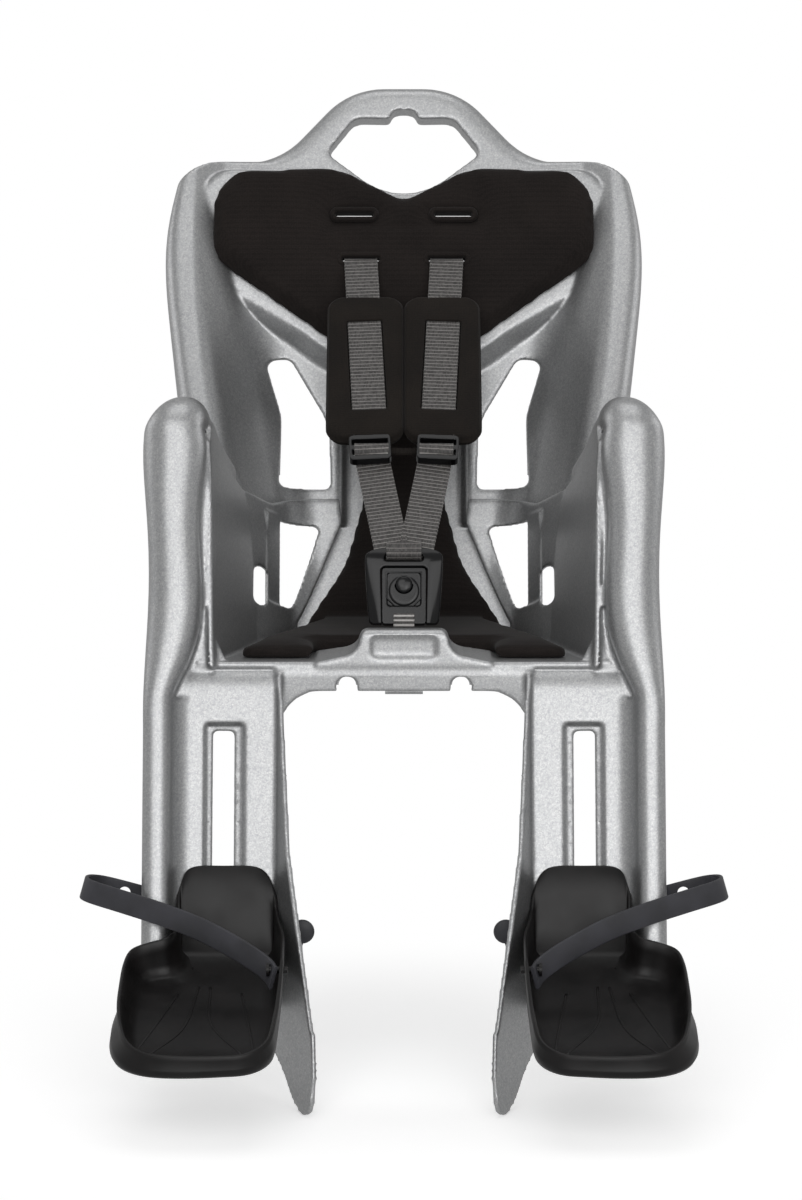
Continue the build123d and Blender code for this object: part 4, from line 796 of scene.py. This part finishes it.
class SEAT_OT_buckle(Operator):
    """Moulds the buckle and the two strap adjusters in gloss black"""
    bl_idname = "seat.buckle"
    bl_label = "Buckle and adjusters"

    def execute(self, context):
        for cad in ("buckle_yoke", "strap_adjuster_left", "strap_adjuster_right"):
            piece = copy_of(cad, cad + "_moulding")
            if cad == "buckle_yoke":
                modify(piece, "REMESH", mode="VOXEL", voxel_size=0.6 * MM)
                self.shoulder(piece)
            moulded(piece, 0.45 * MM, 5, 60000)
            dress(piece, finish_of("buckle"), "seat", "buckle", cad)
        case = moulded(copy_of("buckle_case", "buckle_case_moulding"), 0.45 * MM, 4, 60000)
        lip = ((13.2, 38.6, 12.6, 6.4, 6.6), (13.1, 38.5, 12.7, 6.4, 8.3), (12.8, 38.2, 13.0, 6.2, 8.7),
               (12.4, 37.8, 13.4, 6.0, 8.6), (12.2, 37.6, 13.6, 5.9, 8.0), (12.2, 37.6, 13.6, 5.9, 6.8))
        frame_lip = grid_piece("panel_lip", [self.shield(*row) for row in lip], ring=True)
        disc = ((11.2, 6.8), (11.1, 7.4), (10.7, 7.8), (9.4, 8.0), (8.0, 8.05), (6.9, 8.0), (6.62, 7.6), (6.62, 6.6))
        plate = grid_piece("panel_disc", [self.circle(r, out, 24.6 if r > 7 else 29.0) for r, out in disc], ring=True)
        case = join([case, frame_lip, plate], "buckle_case_moulding")
        smooth(case, 50)
        dress(case, finish_of("buckle"), "seat", "buckle", "buckle_case")
        dome = ((6.3, 5.1), (6.45, 6.8), (6.4, 7.7), (6.0, 8.5), (4.9, 9.1), (3.0, 9.5), (1.0, 9.65))
        button = grid_piece("release_button_dome", [self.circle(r, out, 29.0) for r, out in dome], ring=True, caps=True)
        modify(button, "SUBSURF", levels=1, render_levels=1)
        smooth(button, 60)
        dress(button, finish_of("buckle"), "release_button", "button", "buckle_button")
        return {"FINISHED"}

    def shoulder(self, yoke):
        """Widens the top of the yoke into shoulders and narrows its foot."""
        inwards = BUCKLE.inverted()
        for vertex in yoke.data.vertices:
            x, up, out = inwards @ vertex.co / MM
            share = max(0.0, min(1.0, up / 56))
            edge = max(0.0, min(1.0, (abs(x) - 15) / 8))
            vertex.co.x *= 1 + edge * (0.24 * share - 0.13 * (1 - share))
            if out > 4:
                fall = max(0.0, (abs(x) - 17) / 12) ** 2 + max(0.0, (up - 44) / 12) ** 2
                vertex.co += BUCKLE.to_3x3() @ Vector((0, 0, (1.6 - 3.6 * min(1.0, fall)) * MM))

    def shield(self, half, top, low, cut, out):
        """Outline of the sunk panel: a square with its two lower corners cut off."""
        corners = ((-half, top), (half, top), (half, low + cut), (half - cut, low), (cut - half, low), (-half, low + cut))
        return [BUCKLE @ Vector((x * MM, v * MM, out * MM)) for x, v in corners]

    def circle(self, radius, out, up, count=48):
        """Points round a circle on the face of the buckle."""
        spots = [2 * pi * step / count for step in range(count)]
        return [BUCKLE @ Vector((radius * cos(a) * MM, (up + radius * sin(a)) * MM, out * MM)) for a in spots]


class SEAT_OT_footrests(Operator):
    """Moulds the footrests with their floor ribs, and bends the rubber foot straps round the legs"""
    bl_idname = "seat.footrests"
    bl_label = "Footrests and straps"

    def execute(self, context):
        tray = self.tray()
        ribs = []
        for start, bend, end in (((112, 60), (104, 120), (100, 158)), ((134, 50), (131, 105), (108, 150)),
                                 ((142, 50), (150, 110), (172, 150)), ((156, 60), (170, 110), (182, 150))):
            ribs.append(self.rib([start, bend, end], "floor_rib"))
        piece = join([tray] + ribs, "footrest_tray_right")
        smooth(piece, 60)
        strap = self.strap()
        for made, word in ((piece, "right"), (mirrored(piece, "footrest_tray_left"), "left")):
            dress(made, finish_of("footrest"), "footrest_" + word, "footrest", "footrest_" + word)
        for made, word in ((strap, "right"), (mirrored(strap, "foot_strap_band_left"), "left")):
            dress(made, finish_of("strap"), "footrest_" + word, "strap", "foot_strap_" + word)
        return {"FINISHED"}

    # Stations round the tray, from the middle of its back plate by the inner side to the toe and back by the outer side:
    # foot of the wall (across, along), its rim (across, along), height, turn from floor to leg, and bumper
    STATIONS = (((127, 0), (127, 0), 65, 1, 0), ((106, 0), (106, 0), 64.5, 1, 0), ((96, 0), (96.5, 0), 59, 1, 0),
                ((92.5, 1), (92.5, 1), 48, 1, 0), ((92, 3), (91.5, 3), 38, 0.9, 0), ((91, 10), (89.5, 12), 35, 0.5, 0),
                ((89, 24), (86, 27), 34, 0.1, 0), ((87.5, 45), (85.2, 46), 34, 0, 0), ((87.5, 75), (85.2, 76), 34, 0, 0),
                ((88, 100), (86, 101), 31, 0, 0), ((90, 126), (88, 128), 25, 0, 1), ((95, 147), (93, 150), 16, 0, 4),
                ((106, 158), (106, 162), 12.5, 0, 6), ((124, 160), (124, 165), 12, 0, 7), ((150, 160), (151, 165), 12, 0, 8),
                ((170, 156), (173, 161), 12.5, 0, 9), ((181, 146), (185, 149), 15, 0, 10), ((185, 130), (190, 132), 19, 0, 10),
                ((186, 112), (192, 113), 23, 0, 8), ((186, 88), (192, 88), 25, 0, 3), ((185, 60), (191, 58), 26, 0, 0),
                ((181, 42), (187, 39), 27, 0, 0), ((172, 35), (176, 33), 29, 0, 0), ((162, 32), (164, 30), 31, 0.1, 0),
                ((156, 22), (157, 21), 33, 0.5, 0), ((156, 8), (157, 8), 37, 0.9, 0), ((157, 1), (157.5, 1), 48, 1, 0),
                ((155, 0), (155, 0), 59, 1, 0), ((147, 0), (147, 0), 64.5, 1, 0))

    def tray(self):
        """Right-hand tray: one wall that runs round the shoe, from the back plate to a bumper at the toe."""
        stations = self.around(6)
        middle = Vector((126, 75))
        rows = []
        # Each row: share of the wall's height, height added, way outwards, and share of the bumper
        for share, add, out, bumper in ((0, 3, -16, 0), (0, 3.2, -5, 0), (0.03, 4.6, -1.2, 0), (0.3, 2.5, 0, 0), (0.7, 0.6, 0, 0),
                                        (1, -0.8, 0, 0), (1, 0, 1.2, 0), (1, -0.8, 2.6, 0), (0.7, 0, 3, 0.1), (0.45, 0, 3, 0.75),
                                        (0.2, 0, 3, 1), (0, 0, 2.4, 1), (0, -1.6, 1, 0.85), (0, -2, -3, 0.5), (0, 0, -16, 0)):
            row = []
            for index, (foot, rim, height, turn, bulge) in enumerate(stations):
                ahead = stations[(index + 1) % len(stations)][0] - stations[index - 1][0]
                outwards = Vector((-ahead.y, ahead.x)).normalized()
                if outwards.dot(foot - middle) < 0:
                    outwards = -outwards
                spot = foot.lerp(rim, share) + outwards * (out + bumper * bulge)
                if share == 0 and out < -10:
                    spot = foot.lerp(middle, 0.3)
                up = FOOT_UP.lerp(LEG_UP, turn)
                row.append(FOOT @ (Vector((spot.x, -spot.y, 0)) * MM) + up * ((share * height + add - 0.4 * bumper * bulge) * MM))
            rows.append(row)
        piece = grid_piece("footrest_tray_right", rows, ring=True, caps=True)
        neck = copy_of("footrest_right", "footrest_neck")
        cut(neck, slab("front_cutter", LEG, [(0, -300), (300, -300), (300, 0), (0, 0)], 1.5, 300))
        return join([piece, neck], "footrest_tray_right")

    def around(self, count):
        """Stations of the tray, smoothed, with some more between each two."""
        fine = []
        total = len(self.STATIONS)
        for index in range(total):
            four = [self.STATIONS[(index + k - 1) % total] for k in range(4)]
            values = [Vector(foot + rim + (height, turn, bulge)) for foot, rim, height, turn, bulge in four]
            a, b, c, d = values
            for step in range(count):
                t = step / count
                mixed = 0.5 * (2 * b + (c - a) * t + (2 * a - 5 * b + 4 * c - d) * t ** 2 + (3 * b - a - 3 * c + d) * t ** 3)
                turn = max(0.0, min(1.0, mixed[5]))
                fine.append((Vector(mixed[0:2]), Vector(mixed[2:4]), mixed[4], turn, max(0.0, mixed[6])))
        return fine

    def rib(self, points, name):
        """Low rib on the footrest's floor, through points across and along it."""
        line = line_through([FOOT @ Vector((x * MM, -u * MM, 3 * MM)) for x, u in points], 3 * MM)
        rows = []
        for index, spot in enumerate(line):
            ahead = (line[min(index + 1, len(line) - 1)] - line[max(index - 1, 0)]).normalized()
            side = FOOT_UP.cross(ahead)
            rows.append([spot + side * (a * MM) + FOOT_UP * (b * MM)
                         for a, b in ((-1.1, -0.6), (-0.7, 0.5), (0, 0.75), (0.7, 0.5), (1.1, -0.6))])
        return grid_piece(name, rows, ring=True, caps=True)

    def strap(self):
        """Right-hand foot strap: behind the leg, round the outside and down to the inner wall."""
        roll = radians(16)
        across = Vector((cos(roll), 0, sin(roll)))
        up = Vector((-sin(roll), 0, cos(roll)))
        origin = Vector((RAIL_X, -0.025, -0.164))
        # Way across, way ahead and lift
        path = [(-57, 0, 0), (-30, 0, 0), (0, 0, 0), (40, 0, 0), (84, 2, 0), (99, 9, 0), (103.5, 21, 0), (97, 33, 0.8), (72, 46, 3),
                (42, 60, 5), (12, 74, 4.8), (-17, 90, 1), (-33, 103, -2.5), (-38.3, 118, -4)]
        line = line_through([origin + across * (a * MM) + Vector((0, -b * MM, c * MM)) for a, b, c in path], 2.2 * MM)
        rows = []
        for index, spot in enumerate(line):
            ahead = (line[min(index + 1, len(line) - 1)] - line[max(index - 1, 0)]).normalized()
            out = ahead.cross(up).normalized()
            tail = min(1.0, 0.45 + 0.2 * index)
            ring = rounded_ring(1.25 * MM, 8.1 * MM * tail, 0.9 * MM, steps=3)
            rows.append([spot + out * a + up * b for a, b in ring])
        piece = grid_piece("foot_strap_band_right", rows, ring=True, caps=True)
        for step in range(4):
            deselect()
            bpy.ops.mesh.primitive_cylinder_add(vertices=32, radius=4.2 * MM, depth=12 * MM,
                                                location=origin + across * (step * 25 * MM), rotation=(radians(90), 0, 0))
            drill = bpy.context.object
            modify(piece, "BOOLEAN", operation="DIFFERENCE", solver="EXACT", object=drill)
            bpy.data.objects.remove(drill)
        knob = []
        for half, depth in ((0.5, -2.4), (6.5, -2.4), (8.3, -1.4), (8.8, 0), (8.3, 1.4), (6.5, 2.4), (0.5, 2.4)):
            spot = origin + across * (-54 * MM) + up * (7 * MM) + Vector((0, depth * MM, 0))
            knob.append([spot + (across * cos(radians(a)) + up * sin(radians(a))) * (half * MM) for a in range(0, 360, 12)])
        piece = join([piece, grid_piece("strap_knob", knob, ring=True, caps=True)], piece.name)
        smooth(piece, 40)
        return piece


class SEAT_OT_fittings(Operator):
    """Gives the screws, bars, bracket and carriages their finishes"""
    bl_idname = "seat.fittings"
    bl_label = "Fittings"

    def execute(self, context):
        for cad, piece in frame["nodes"].items():
            if piece.hide_render:
                continue
            slot = next(s["material_slot"] for s in frame["record"]["subparts"] if s["node"] == cad)
            finish = {"bracket": "shell", "button": "buckle"}.get(slot, slot)
            piece.data.materials.clear()
            piece.data.materials.append(finish_of(finish))
        return {"FINISHED"}


class SEAT_OT_stage(Operator):
    """Sets the white floor, the soft lights and the camera"""
    bl_idname = "seat.stage"
    bl_label = "Stage"

    def execute(self, context):
        scene = context.scene
        sizes = scene.seat_stage
        deselect()
        bpy.ops.mesh.primitive_plane_add(size=12, location=(0, 0, CAD_BOX[0][2] - 0.001))
        ground = context.object
        ground.name = "studio_floor"
        bpy.ops.object.transform_apply(location=True, rotation=True, scale=True)
        material, tree, shader = new_material("white_studio_floor")
        shader.inputs["Base Color"].default_value = hexa("f2f2f2")
        shader.inputs["Roughness"].default_value = 0.9
        shader.inputs["Specular IOR Level"].default_value = 0.0
        glow = node(tree, "ShaderNodeEmission", {"Color": (1, 1, 1, 1), "Strength": self.seen(tree, 0.0, sizes.glow)})
        near = node(tree, "ShaderNodeAddShader", {0: shader.outputs["BSDF"], 1: glow.outputs["Emission"]})
        white = node(tree, "ShaderNodeEmission", {"Color": (1, 1, 1, 1), "Strength": self.seen(tree, sizes.ambient, 1.0)})
        place = node(tree, "ShaderNodeTexCoord").outputs["Object"]
        apart = node(tree, "ShaderNodeVectorMath", {0: place}, operation="LENGTH")
        fade = node(tree, "ShaderNodeMapRange", {"Value": apart.outputs["Value"], "From Min": 0.3, "From Max": 0.52},
                    interpolation_type="SMOOTHSTEP")
        mixed = node(tree, "ShaderNodeMixShader", {0: fade.outputs["Result"], 1: near.outputs["Shader"], 2: white.outputs["Emission"]})
        out = next(n for n in tree.nodes if n.type == "OUTPUT_MATERIAL")
        tree.links.new(mixed.outputs["Shader"], out.inputs["Surface"])
        ground.data.materials.append(material)
        world = bpy.data.worlds.new("white_studio")
        world.use_nodes = True
        scene.world = world
        tree = world.node_tree
        tree.nodes.clear()
        sky = node(tree, "ShaderNodeBackground", {"Color": (1, 1, 1, 1), "Strength": self.seen(tree, sizes.ambient, 1.0)})
        node(tree, "ShaderNodeOutputWorld", {"Surface": sky.outputs["Background"]})
        lamps = (("key", (-0.6, -2.4, 1.5), 1.5, 14), ("fill", (0.9, -2.3, 0.8), 1.5, 13), ("low", (0, -2.6, 0.15), 1.6, 15),
                 ("rim_left", (-1.6, 0.6, 0.7), 0.9, 3),
                 ("rim_right", (1.6, 0.6, 0.7), 0.9, 3), ("top", (0, -0.1, 2.2), 1.4, 8))
        for name, place, size, power in lamps:
            lamp = bpy.data.lights.new(name, "AREA")
            lamp.size = size
            lamp.energy = power
            made = bpy.data.objects.new(name, lamp)
            made.location = place
            made.rotation_euler = (Vector((0, 0.05, 0.1)) - Vector(place)).to_track_quat("-Z", "Y").to_euler()
            scene.collection.objects.link(made)
        tilt = radians(sizes.elevation)
        target = Vector((-0.00213, 0, 0.0626))
        camera = bpy.data.cameras.new("photo_camera")
        camera.lens = sizes.lens
        camera.sensor_width = 36
        camera.sensor_fit = "AUTO"
        made = bpy.data.objects.new("photo_camera", camera)
        made.location = target + Vector((0, -cos(tilt), sin(tilt))) * sizes.distance
        made.rotation_euler = (target - made.location).to_track_quat("-Z", "Y").to_euler()
        scene.collection.objects.link(made)
        scene.camera = made
        scene.view_settings.view_transform = "Standard"
        return {"FINISHED"}

    def seen(self, tree, unseen, seen):
        """Strength that the camera sees, with a share of it in reflections; other light gets the unseen one."""
        path = node(tree, "ShaderNodeLightPath")
        shiny = node(tree, "ShaderNodeMath", {0: path.outputs["Is Glossy Ray"], 1: 0.3}, operation="MULTIPLY")
        clear = node(tree, "ShaderNodeMath", {0: path.outputs["Is Camera Ray"], 1: path.outputs["Is Transmission Ray"]},
                     operation="MAXIMUM")
        most = node(tree, "ShaderNodeMath", {0: clear.outputs["Value"], 1: shiny.outputs["Value"]}, operation="MAXIMUM")
        return node(tree, "ShaderNodeMapRange", {"Value": most.outputs["Value"], "To Min": unseen, "To Max": seen}).outputs["Result"]


class SEAT_PT_panel(Panel):
    """Lists the steps that dress the seat"""
    bl_label = "Child bike seat"
    bl_idname = "SEAT_PT_panel"
    bl_space_type = "VIEW_3D"
    bl_region_type = "UI"
    bl_category = "Bike seat"

    def draw(self, context):
        for step in STEPS:
            self.layout.operator(step.bl_idname)
        for group in (context.scene.seat_shell_sizes, context.scene.seat_padding, context.scene.seat_stage):
            for name in group.bl_rna.properties.keys():
                if name not in ("rna_type", "name"):
                    self.layout.prop(group, name)


STEPS = (SEAT_OT_shells, SEAT_OT_pad, SEAT_OT_shoulder_pads, SEAT_OT_webbing, SEAT_OT_buckle, SEAT_OT_footrests,
         SEAT_OT_fittings, SEAT_OT_stage)
CLASSES = (ShellSizes, PaddingSizes, StageSizes) + STEPS + (SEAT_PT_panel,)


def register():
    for made in CLASSES:
        bpy.utils.register_class(made)
    bpy.types.Scene.seat_shell_sizes = PointerProperty(type=ShellSizes)
    bpy.types.Scene.seat_padding = PointerProperty(type=PaddingSizes)
    bpy.types.Scene.seat_stage = PointerProperty(type=StageSizes)


def unregister():
    del bpy.types.Scene.seat_shell_sizes
    del bpy.types.Scene.seat_padding
    del bpy.types.Scene.seat_stage
    for made in reversed(CLASSES):
        bpy.utils.unregister_class(made)


def main():
    register()
    bpy.ops.seat.shells()
    bpy.ops.seat.pad()
    bpy.ops.seat.shoulder_pads()
    bpy.ops.seat.webbing()
    bpy.ops.seat.buckle()
    bpy.ops.seat.footrests()
    bpy.ops.seat.fittings()
    bpy.ops.seat.stage()


if __name__ == "__main__":
    main()
